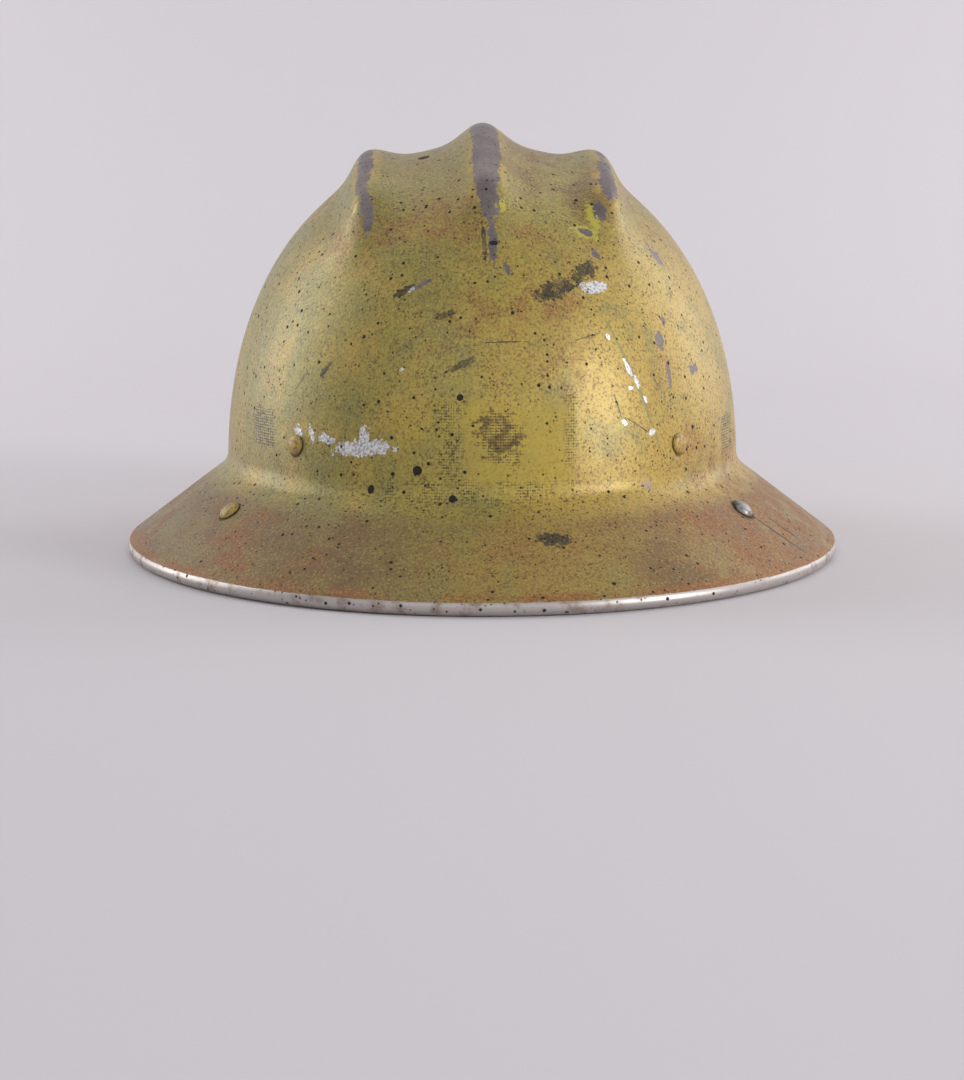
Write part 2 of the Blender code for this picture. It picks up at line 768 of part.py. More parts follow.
def build():
    clear_scene()
    painted = make_material("weathered_yellow_paint", (0.55, 0.37, 0.06), 0.5, 0.0)
    painted_rivet = make_material("painted_rivet", (0.5, 0.34, 0.06), 0.5, 0.0)
    bare_rivet = make_material("bare_aluminium", (0.62, 0.62, 0.62), 0.35, 1.0)
    plated = make_material("plated_steel", (0.45, 0.44, 0.42), 0.4, 1.0)
    wire = make_material("steel_wire", (0.4, 0.4, 0.4), 0.35, 1.0)
    brass = make_material("brass", (0.6, 0.45, 0.2), 0.4, 1.0)
    webbing = make_material("cotton_webbing", (0.52, 0.47, 0.36), 0.9, 0.0)
    tab_webbing = make_material("tab_webbing", (0.48, 0.43, 0.33), 0.9, 0.0)
    fibre = make_material("vulcanised_fibre", (0.12, 0.07, 0.05), 0.6, 0.0)
    nape_fibre = make_material("nape_fibre", (0.14, 0.08, 0.05), 0.6, 0.0)
    leather = make_material("sweatband_leather", (0.3, 0.15, 0.07), 0.65, 0.0)
    pad_leather = make_material("pad_leather", (0.27, 0.14, 0.07), 0.7, 0.0)

    shell = build_shell(painted)
    for end_name, end in ENDS.items():
        for side_name, side in SIDES.items():
            label = end_name + "_" + side_name
            frame = rivet_frame(end, side)
            cut(shell, round_cutter("shell_hole_" + label, frame, SHANK_RADIUS + GAP, -0.006, 0.004))
            rivet(
                "crown_rivet_" + label,
                frame,
                0.0037,
                0.0017,
                0.0031,
                SHANK_RADIUS,
                0.0032,
                0.0014,
                painted_rivet,
            )
            build_hanger("strap_hanger_" + label, frame, plated)
            build_tab("headband_tab_" + label, end, side, tab_webbing)
            build_tab_rivet("tab_rivet_" + label, end, side, brass)
    for side_name, side in SIDES.items():
        frame = brim_frame(side)
        cut(shell, round_cutter("shell_brim_hole_" + side_name, frame, SHANK_RADIUS + GAP, -0.004, 0.004))
        rivet(
            "brim_rivet_" + side_name,
            frame,
            0.0041,
            0.0021,
            0.0030,
            SHANK_RADIUS,
            0.0032,
            0.0011,
            bare_rivet,
        )
        build_chin_bracket("chin_loop_bracket_" + side_name, side, plated)
        build_chin_loop("chin_loop_" + side_name, side, wire)
        build_size_keeper("size_keeper_" + side_name, side, plated)
        build_size_stud("size_stud_" + side_name, side, brass)
    build_crown_strap("crown_strap_a", rivet_frame(-1, 1), rivet_frame(1, -1), 0.0, webbing)
    build_crown_strap("crown_strap_b", rivet_frame(-1, -1), rivet_frame(1, 1), 0.0018, webbing)
    build_crown_pad(pad_leather)
    build_headband(fibre)
    build_sweatband(leather)
    build_nape_band(nape_fibre)
    build_nape_pad(pad_leather)


build()
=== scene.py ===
import math
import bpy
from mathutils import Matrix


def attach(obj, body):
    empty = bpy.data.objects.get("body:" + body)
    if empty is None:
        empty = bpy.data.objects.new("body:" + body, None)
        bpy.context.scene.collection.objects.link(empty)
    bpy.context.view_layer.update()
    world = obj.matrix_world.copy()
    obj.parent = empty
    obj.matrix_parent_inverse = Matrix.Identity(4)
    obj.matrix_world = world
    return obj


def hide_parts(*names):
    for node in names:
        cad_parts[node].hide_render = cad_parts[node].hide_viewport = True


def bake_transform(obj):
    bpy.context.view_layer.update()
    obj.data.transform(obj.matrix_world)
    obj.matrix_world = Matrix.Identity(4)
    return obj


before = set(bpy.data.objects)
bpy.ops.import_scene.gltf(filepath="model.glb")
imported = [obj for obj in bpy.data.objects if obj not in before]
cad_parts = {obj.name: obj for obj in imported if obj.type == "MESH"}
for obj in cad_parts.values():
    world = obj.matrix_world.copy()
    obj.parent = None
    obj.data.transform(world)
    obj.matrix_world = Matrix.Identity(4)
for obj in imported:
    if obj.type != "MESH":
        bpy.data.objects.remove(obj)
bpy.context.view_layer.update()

from types import SimpleNamespace

import bmesh
import bpy
from mathutils import Matrix, Vector

mm = 0.001
scene = bpy.context.scene


# Node helpers, shared by the shape trees and the materials

def feed(tree, socket, value):
    if isinstance(value, bpy.types.NodeSocket):
        tree.links.new(value, socket)
    elif value is not None:
        socket.default_value = value


def addNode(tree, kind, inputs=None, **settings):
    node = tree.nodes.new(kind)
    for name, value in settings.items():
        setattr(node, name, value)
    for name, value in (inputs or {}).items():
        feed(tree, node.inputs[name], value)
    return node


def calc(tree, operation, *values):
    node = addNode(tree, "ShaderNodeMath", operation=operation)
    for socket, value in zip(node.inputs, values):
        feed(tree, socket, value)
    return node.outputs[0]


def times(tree, *values):
    total = values[0]
    for value in values[1:]:
        total = calc(tree, "MULTIPLY", total, value)
    return total


def plus(tree, *values):
    total = values[0]
    for value in values[1:]:
        total = calc(tree, "ADD", total, value)
    return total


def minus(tree, first, second):
    return calc(tree, "SUBTRACT", first, second)


def greatest(tree, values):
    total = values[0]
    for value in values[1:]:
        total = calc(tree, "MAXIMUM", total, value)
    return total


def vectorCalc(tree, operation, *values, output="Vector"):
    node = addNode(tree, "ShaderNodeVectorMath", operation=operation)
    for socket, value in zip(node.inputs, values):
        feed(tree, socket, value)
    return node.outputs[output]


def ramp(tree, value, low, high, toLow=0.0, toHigh=1.0):
    node = addNode(tree, "ShaderNodeMapRange", interpolation_type="SMOOTHSTEP")
    for place, item in enumerate((value, low, high, toLow, toHigh)):
        feed(tree, node.inputs[place], item)
    return node.outputs[0]


def splitVector(tree, vector):
    return addNode(tree, "ShaderNodeSeparateXYZ", {0: vector}).outputs


def joinVector(tree, x, y, z):
    return addNode(tree, "ShaderNodeCombineXYZ", {0: x, 1: y, 2: z}).outputs[0]


def noise(tree, vector, scale, detail=2.0, roughness=0.5, distortion=0.0):
    inputs = {
        "Vector": vector, "Scale": scale, "Detail": detail,
        "Roughness": roughness, "Distortion": distortion,
    }
    return addNode(tree, "ShaderNodeTexNoise", inputs).outputs[0]


# Geometry Nodes helpers

def startTree(name, sizes):
    tree = bpy.data.node_groups.new(name, "GeometryNodeTree")
    tree.interface.new_socket(name="Geometry", in_out="INPUT", socket_type="NodeSocketGeometry")
    kinds = {float: "Float", int: "Int", "object": "Object", "material": "Material"}
    for label, value in sizes.items():
        kind = kinds[value] if isinstance(value, str) else kinds[type(value)]
        socket = tree.interface.new_socket(name=label, in_out="INPUT", socket_type="NodeSocket" + kind)
        if not isinstance(value, str):
            socket.default_value = value
    tree.interface.new_socket(name="Geometry", in_out="OUTPUT", socket_type="NodeSocketGeometry")
    return tree, tree.nodes.new("NodeGroupInput").outputs


def endTree(tree, geometry, material):
    realized = addNode(tree, "GeometryNodeRealizeInstances", {"Geometry": geometry})
    inputs = {"Geometry": realized.outputs[0], "Material": material}
    painted = addNode(tree, "GeometryNodeSetMaterial", inputs)
    feed(tree, tree.nodes.new("NodeGroupOutput").inputs[0], painted.outputs[0])


def attributeField(tree, name, kind="FLOAT"):
    node = addNode(tree, "GeometryNodeInputNamedAttribute", {"Name": name}, data_type=kind)
    return node.outputs["Attribute"]


def storeField(tree, geometry, name, value):
    inputs = {"Geometry": geometry, "Name": name, "Value": value}
    node = addNode(tree, "GeometryNodeStoreNamedAttribute", inputs, data_type="FLOAT", domain="POINT")
    return node.outputs[0]


def newObject(name, data):
    item = bpy.data.objects.new(name, data)
    scene.collection.objects.link(item)
    return item


def plainMesh(item, name):
    # the evaluated shape as a mesh of its own, with no modifier left
    graph = bpy.context.evaluated_depsgraph_get()
    mesh = bpy.data.meshes.new_from_object(item.evaluated_get(graph), depsgraph=graph)
    mesh.name = name
    return mesh


def runTree(name, mesh, tree, values):
    item = newObject(name + "Seed", mesh)
    modifier = item.modifiers.new(tree.name, "NODES")
    modifier.node_group = tree
    for socket in tree.interface.items_tree:
        if socket.in_out == "INPUT" and socket.name in values:
            modifier[socket.identifier] = values[socket.name]
    bpy.context.view_layer.update()
    result = newObject(name, plainMesh(item, name))
    bpy.data.objects.remove(item)
    return result


def finishModifiers(item):
    bpy.context.view_layer.update()
    mesh = plainMesh(item, item.name)
    item.modifiers.clear()
    item.data = mesh
    return item


def setAttribute(mesh, name, values):
    layer = mesh.attributes.new(name, "FLOAT", "POINT")
    layer.data.foreach_set("value", values)


def setVectors(mesh, name, values):
    layer = mesh.attributes.new(name, "FLOAT_VECTOR", "POINT")
    layer.data.foreach_set("vector", [number for value in values for number in value])


# Camera, floor and light

cameraSet = {
    "distance": 0.85,
    "elevation": 9.5,
    "azimuth": -1.43,
    "lens": 70.4,
    "sensor": 36.0,
}

stageSet = {
    "colour": (0.66, 0.63, 0.655, 1.0),
    "wallAway": 1.1,
    "bend": 0.5,
    "halfWidth": 4.0,
    "front": -2.5,
    "height": 3.2,
    "bendSteps": 12,
    "underHat": 0.0002,
    "lightTarget": 0.06,
    "roomColour": (0.93, 0.92, 0.95, 1.0),
    "roomStrength": 0.44,
}

lightSet = {
    "window": {"azimuth": 56, "elevation": 13, "distance": 1.5, "size": (0.54, 0.90), "watts": 13.0},
    "frontFill": {"azimuth": -12, "elevation": 30, "distance": 2.0, "size": (2.0, 1.2), "watts": 4.2},
    "leftFill": {"azimuth": -110, "elevation": 20, "distance": 1.5, "size": (0.9, 1.2), "watts": 9.8},
    "rightFill": {"azimuth": 116, "elevation": 24, "distance": 1.5, "size": (0.8, 1.1), "watts": 6.0},
    "overhead": {"azimuth": 180, "elevation": 62, "distance": 1.7, "size": (2.2, 1.2), "watts": 7.0},
}


def onOrbit(azimuth, elevation, distance):
    # azimuth 0 is in front of the hat, and positive goes to the wearer's left
    turn = math.radians(azimuth)
    lift = math.radians(elevation)
    level = distance * math.cos(lift)
    return Vector((level * math.sin(turn), -level * math.cos(turn), distance * math.sin(lift)))


def aimAt(item, place, target):
    item.location = place
    item.rotation_euler = (target - place).to_track_quat("-Z", "Y").to_euler()


def makeCamera():
    data = bpy.data.cameras.new("camera")
    data.lens = cameraSet["lens"]
    data.sensor_width = cameraSet["sensor"]
    data.dof.use_dof = False
    item = newObject("camera", data)
    place = onOrbit(cameraSet["azimuth"], cameraSet["elevation"], cameraSet["distance"])
    aimAt(item, place, Vector((0, 0, 0)))
    scene.camera = item


def makeLights():
    for name, values in lightSet.items():
        data = bpy.data.lights.new(name, "AREA")
        data.shape = "RECTANGLE"
        data.size, data.size_y = values["size"]
        data.energy = values["watts"]
        place = onOrbit(values["azimuth"], values["elevation"], values["distance"])
        aimAt(newObject(name, data), place, Vector((0, 0, stageSet["lightTarget"])))
    world = bpy.data.worlds.new("softRoom")
    world.use_nodes = True
    background = world.node_tree.nodes["Background"]
    background.inputs[0].default_value = stageSet["roomColour"]
    background.inputs[1].default_value = stageSet["roomStrength"]
    scene.world = world


def makeStage():
    # one sheet: a floor that bends up into the wall behind
    s = stageSet
    profile = [(s["front"], 0.0)]
    for step in range(s["bendSteps"] + 1):
        angle = math.pi / 2 * step / s["bendSteps"]
        away = s["wallAway"] - s["bend"] + s["bend"] * math.sin(angle)
        profile.append((away, s["bend"] * (1 - math.cos(angle))))
    profile.append((s["wallAway"], s["height"]))
    shape = bmesh.new()
    rows = []
    for y, z in profile:
        rows.append([shape.verts.new((side * s["halfWidth"], y, z - s["underHat"])) for side in (-1, 1)])
    for row, following in zip(rows, rows[1:]):
        shape.faces.new((row[0], row[1], following[1], following[0]))
    mesh = bpy.data.meshes.new("backdrop")
    shape.to_mesh(mesh)
    shape.free()
    mesh.shade_smooth()
    material = bpy.data.materials.new("paleBackdrop")
    material.use_nodes = True
    shader = material.node_tree.nodes["Principled BSDF"]
    shader.inputs["Base Color"].default_value = stageSet["colour"]
    shader.inputs["Roughness"].default_value = 0.85
    shader.inputs["Specular IOR Level"].default_value = 0.2
    mesh.materials.append(material)
    newObject("backdrop", mesh)


print("camera, stage and lights")
scene.view_settings.view_transform = "Standard"
makeCamera()
makeLights()
makeStage()


# Shell: a superellipsoid crown, three drawn ridges, a sloping brim and a rolled edge

shellSizes = {
    "halfWidth": 0.1006,
    "halfLength": 0.116,
    "crownBase": 0.030,
    "crownRise": 0.126,
    "crownPower": 2.2,
    "centreRidgeRise": 0.0088,
    "centreRidgeSpread": 0.0072,
    "centreRidgeStart": 0.066,
    "centreRidgeEnd": 0.093,
    "sideRidgePlace": 0.042,
    "sideRidgeRise": 0.0074,
    "sideRidgeSpread": 0.0060,
    "sideRidgeStart": 0.052,
    "sideRidgeEnd": 0.078,
    "sheet": 0.0013,
    "brimJoint": 0.034,
    "brimFillet": 0.009,
    "brimReach": 0.0395,
    "beadRadius": 0.0029,
    "beadEnd": -238,
    "turnSteps": 300,
    "crownSteps": 84,
    "filletSteps": 10,
    "brimSteps": 22,
    "beadSteps": 30,
    "dentDepth": 0.00022,
    "dentSize": 0.035,
    "dentSeed": 3.7,
}


def brimSlope():
    reach = shellSizes["brimReach"] - shellSizes["beadRadius"]
    drop = shellSizes["brimJoint"] - shellSizes["beadRadius"]
    return math.atan2(drop, reach) - math.asin(shellSizes["beadRadius"] / math.hypot(reach, drop))


# Places of the fittings, worked out from the shell's own numbers

fittingPlaces = {
    "crownRivetTurn": 43.5,
    "crownRivetHeight": 0.049,
    "brimRivetTurn": 54.8,
    "brimRivetReach": 0.014,
    "gap": 0.0003,
    "bandHalfWidth": 0.0775,
    "napeHalfWidth": 0.0792,
    "bandEndLength": 0.070,
    "bandEndCentre": 0.028,
    "bandThickness": 0.0016,
    "napeThickness": 0.0014,
    "tabRivetHeight": 0.0175,
    "tabRivetOut": 0.003,
    "studPlace": (0.008, 0.0305),
}

corners = {
    "front_left": (-1, 1),
    "front_right": (-1, -1),
    "rear_left": (1, 1),
    "rear_right": (1, -1),
}


def frameOf(origin, xAxis, yAxis, zAxis):
    placing = Matrix((xAxis, yAxis, zAxis)).transposed().to_4x4()
    placing.translation = origin
    return placing


def surfaceFrame(origin, normal):
    across = Vector((0, 0, 1)).cross(normal).normalized()
    return frameOf(origin, across, normal.cross(across), normal)


def uprightFrame(origin, outward):
    level = Vector((outward.x, outward.y, 0)).normalized()
    return frameOf(origin, Vector((0, 0, 1)).cross(level), Vector((0, 0, 1)), level)


def crownSpread(height):
    rise = max(0.0, (height - shellSizes["crownBase"]) / shellSizes["crownRise"])
    return max(0.0, 1 - rise ** shellSizes["crownPower"]) ** (1 / shellSizes["crownPower"])


def crownNormal(point):
    power = shellSizes["crownPower"]
    wide, long = shellSizes["halfWidth"], shellSizes["halfLength"]
    plan = math.hypot(point.x / wide, point.y / long)
    rise = max(0.0, (point.z - shellSizes["crownBase"]) / shellSizes["crownRise"])
    slope = plan ** (power - 2)
    upward = rise ** (power - 1) / shellSizes["crownRise"]
    return Vector((slope * point.x / wide ** 2, slope * point.y / long ** 2, upward)).normalized()


def cornerTurn(degrees, end, side):
    turn = math.radians(degrees)
    return side * turn if end < 0 else side * (math.pi - turn)


def rivetFrame(end, side):
    turn = cornerTurn(fittingPlaces["crownRivetTurn"], end, side)
    height = fittingPlaces["crownRivetHeight"]
    spread = crownSpread(height)
    wide, long = shellSizes["halfWidth"] * spread, shellSizes["halfLength"] * spread
    point = Vector((wide * math.sin(turn), -long * math.cos(turn), height))
    return surfaceFrame(point, crownNormal(point))


def wallFrame(end, side):
    leaning = rivetFrame(end, side)
    return uprightFrame(leaning.translation, leaning.col[2].to_3d())


def brimFrame(side):
    turn = side * math.radians(fittingPlaces["brimRivetTurn"])
    slope = brimSlope()
    reach = fittingPlaces["brimRivetReach"]
    wide, long = shellSizes["halfWidth"] + reach, shellSizes["halfLength"] + reach
    height = shellSizes["brimJoint"] - reach * math.tan(slope)
    level = Vector((math.sin(turn) / wide, -math.cos(turn) / long, 0)).normalized()
    normal = math.sin(slope) * level + Vector((0, 0, math.cos(slope)))
    return surfaceFrame(Vector((wide * math.sin(turn), -long * math.cos(turn), height)), normal)


def bandDepth(place, end):
    # how far in a level line meets the outer face of the band at that end
    p = fittingPlaces
    halfWidth = p["bandHalfWidth"] if end < 0 else p["napeHalfWidth"]
    outward = place.col[2].to_3d()
    startX, startY = place.translation.x, place.translation.y - end * p["bandEndCentre"]
    start = Vector((startX / halfWidth, startY / p["bandEndLength"]))
    step = Vector((-outward.x / halfWidth, -outward.y / p["bandEndLength"]))
    linear = start.dot(step)
    return (-linear - math.sqrt(linear ** 2 - step.dot(step) * (start.dot(start) - 1))) / step.dot(step)


def tabRivetFrame(end, side):
    place = wallFrame(end, side)
    drop = fittingPlaces["tabRivetHeight"] - fittingPlaces["crownRivetHeight"]
    deep = bandDepth(place, end) - fittingPlaces["tabRivetOut"]
    place.translation = place @ Vector((0, drop, -deep))
    return place


def shellProfile():
    # (reach past the crown wall, height, share of the brim, share of the bead) from the top down
    s = shellSizes
    slope = brimSlope()
    turn = math.pi / 2 - slope
    run = s["brimFillet"] * math.tan(turn / 2)
    filletTop = s["brimJoint"] + run
    lowest = math.asin(((filletTop - s["crownBase"]) / s["crownRise"]) ** (s["crownPower"] / 2))
    rows = []
    for step in range(s["crownSteps"] + 1):
        angle = math.pi / 2 + (lowest - math.pi / 2) * step / s["crownSteps"]
        rise = math.sin(angle) ** (2 / s["crownPower"])
        rows.append((0.0, s["crownBase"] + s["crownRise"] * rise, 0.0, 0.0))
    for step in range(1, s["filletSteps"] + 1):
        angle = math.pi + turn * step / s["filletSteps"]
        reach = s["brimFillet"] * (1 + math.cos(angle))
        rows.append((reach, filletTop + s["brimFillet"] * math.sin(angle), 0.0, 0.0))
    start = math.pi / 2 - slope
    middle = (s["brimReach"] - s["beadRadius"], s["beadRadius"])
    touch = (middle[0] + s["beadRadius"] * math.cos(start), middle[1] + s["beadRadius"] * math.sin(start))
    foot = rows[-1]
    for step in range(1, s["brimSteps"]):
        share = step / s["brimSteps"]
        height = foot[1] + (touch[1] - foot[1]) * share
        rows.append((foot[0] + (touch[0] - foot[0]) * share, height, share, 0.0))
    for step in range(s["beadSteps"] + 1):
        angle = start + (math.radians(s["beadEnd"]) - start) * step / s["beadSteps"]
        reach = middle[0] + s["beadRadius"] * math.cos(angle)
        rows.append((reach, middle[1] + s["beadRadius"] * math.sin(angle), 1.0, min(1.0, step / 4)))
    return rows


def shellSeedMesh():
    # an unshaped grid that carries each point's turn, reach and height for the tree
    rows = shellProfile()
    count = shellSizes["turnSteps"]
    points = [(0.0, 0.0, 0.0)] * (len(rows) * count)
    faces = []
    for row in range(len(rows) - 1):
        for column in range(count):
            after = (column + 1) % count
            first, second = row * count, (row + 1) * count
            faces.append((first + column, second + column, second + after, first + after))
    mesh = bpy.data.meshes.new("shellSeed")
    mesh.from_pydata(points, [], faces)
    for name, place in (("reach", 0), ("height", 1), ("brim", 2), ("bead", 3)):
        setAttribute(mesh, name, [row[place] for row in rows for column in range(count)])
    setAttribute(mesh, "turn", [math.tau * column / count for row in rows for column in range(count)])
    return mesh


def ridgeField(tree, sideways, along, place, rise, spread, start, end):
    away = calc(tree, "DIVIDE", minus(tree, calc(tree, "ABSOLUTE", sideways), place), spread)
    bell = calc(tree, "EXPONENT", times(tree, times(tree, away, away), -0.5))
    ends = ramp(tree, calc(tree, "ABSOLUTE", along), start, end, 1.0, 0.0)
    return times(tree, times(tree, bell, ends), rise)


def shellTree():
    # the tree's inputs are the keys of these sizes, spelled as words
    names = ("Half Width", "Half Length", "Crown Base", "Crown Rise", "Crown Power", "Centre Ridge Rise",
             "Centre Ridge Spread", "Centre Ridge Start", "Centre Ridge End", "Side Ridge Place",
             "Side Ridge Rise", "Side Ridge Spread", "Side Ridge Start", "Side Ridge End",
             "Dent Depth", "Dent Size", "Dent Seed")
    sizes = {name: float(shellSizes[name[0].lower() + name[1:].replace(" ", "")]) for name in names}
    tree, given = startTree("drawnShell", {**sizes, "Paint": "material"})
    turn = attributeField(tree, "turn")
    reach = attributeField(tree, "reach")
    height = attributeField(tree, "height")
    rise = calc(tree, "DIVIDE", minus(tree, height, given["Crown Base"]), given["Crown Rise"])
    rise = calc(tree, "MAXIMUM", rise, 0.0)
    left = calc(tree, "MAXIMUM", minus(tree, 1.0, calc(tree, "POWER", rise, given["Crown Power"])), 0.0)
    spread = calc(tree, "POWER", left, calc(tree, "DIVIDE", 1.0, given["Crown Power"]))
    wide = plus(tree, times(tree, given["Half Width"], spread), reach)
    long = plus(tree, times(tree, given["Half Length"], spread), reach)
    x = times(tree, wide, calc(tree, "SINE", turn))
    y = times(tree, times(tree, long, calc(tree, "COSINE", turn)), -1.0)
    inputs = {"Geometry": given["Geometry"], "Position": joinVector(tree, x, y, height)}
    placed = addNode(tree, "GeometryNodeSetPosition", inputs)
    inputs = {"Geometry": placed.outputs[0], "Distance": 0.00002}
    merged = addNode(tree, "GeometryNodeMergeByDistance", inputs)
    position = tree.nodes.new("GeometryNodeInputPosition").outputs[0]
    normal = tree.nodes.new("GeometryNodeInputNormal").outputs[0]
    sideways, along, up = splitVector(tree, position)
    sizeNames = ("Rise", "Spread", "Start", "End")
    centreSizes, sideSizes = [[given[f"{kind} Ridge {size}"] for size in sizeNames] for kind in ("Centre",
                                                                                                 "Side")]
    centre = ridgeField(tree, sideways, along, 0.0, *centreSizes)
    side = ridgeField(tree, sideways, along, given["Side Ridge Place"], *sideSizes)
    ridges = plus(tree, centre, side)
    shifted = vectorCalc(tree, "ADD", position, joinVector(tree, given["Dent Seed"], 0.0, 0.0))
    dents = noise(tree, shifted, calc(tree, "DIVIDE", 1.0, given["Dent Size"]), 2.0)
    onCrown = ramp(tree, up, 0.055, 0.075)
    dents = times(tree, times(tree, minus(tree, dents, 0.5), onCrown), given["Dent Depth"])
    push = vectorCalc(tree, "MULTIPLY", normal, joinVector(tree, *[plus(tree, ridges, dents)] * 3))
    centreShare = calc(tree, "DIVIDE", centre, given["Centre Ridge Rise"])
    sideShare = calc(tree, "DIVIDE", side, given["Side Ridge Rise"])
    kept = storeField(tree, merged.outputs[0], "ridge", calc(tree, "MAXIMUM", centreShare, sideShare))
    drawn = addNode(tree, "GeometryNodeSetPosition", {"Geometry": kept, "Offset": push})
    endTree(tree, drawn.outputs[0], given["Paint"])
    return tree, sizes


# Shell finish

paintColours = {
    "oliveYellow": (0.385, 0.303, 0.058, 1.0),
    "greenOlive": (0.222, 0.210, 0.072, 1.0),
    "goldenOrange": (0.50, 0.330, 0.068, 1.0),
    "ghostYellow": (0.47, 0.350, 0.052, 1.0),
    "lemon": (0.50, 0.44, 0.06, 1.0),
    "grainBrown": (0.135, 0.080, 0.028, 1.0),
    "rust": (0.30, 0.115, 0.038, 1.0),
    "brimBrown": (0.168, 0.096, 0.038, 1.0),
    "soot": (0.036, 0.030, 0.018, 1.0),
    "black": (0.010, 0.006, 0.004, 1.0),
    "dullMetal": (0.252, 0.224, 0.214, 1.0),
    "brightMetal": (0.80, 0.79, 0.78, 1.0),
    "insideMetal": (0.52, 0.51, 0.49, 1.0),
    "paleYellow": (0.50, 0.415, 0.105, 1.0),
    "rivetTan": (0.44, 0.315, 0.125, 1.0),
    "mauve": (0.36, 0.25, 0.22, 1.0),
    "dullMauve": (0.17, 0.145, 0.152, 1.0),
    "edgeMetal": (0.52, 0.475, 0.45, 1.0),
    "edgeStain": (0.26, 0.18, 0.13, 1.0),
    "chipGrey": (0.40, 0.38, 0.41, 1.0),
}

markDepth = 0.044  # how far in and out of the shell a mark reaches

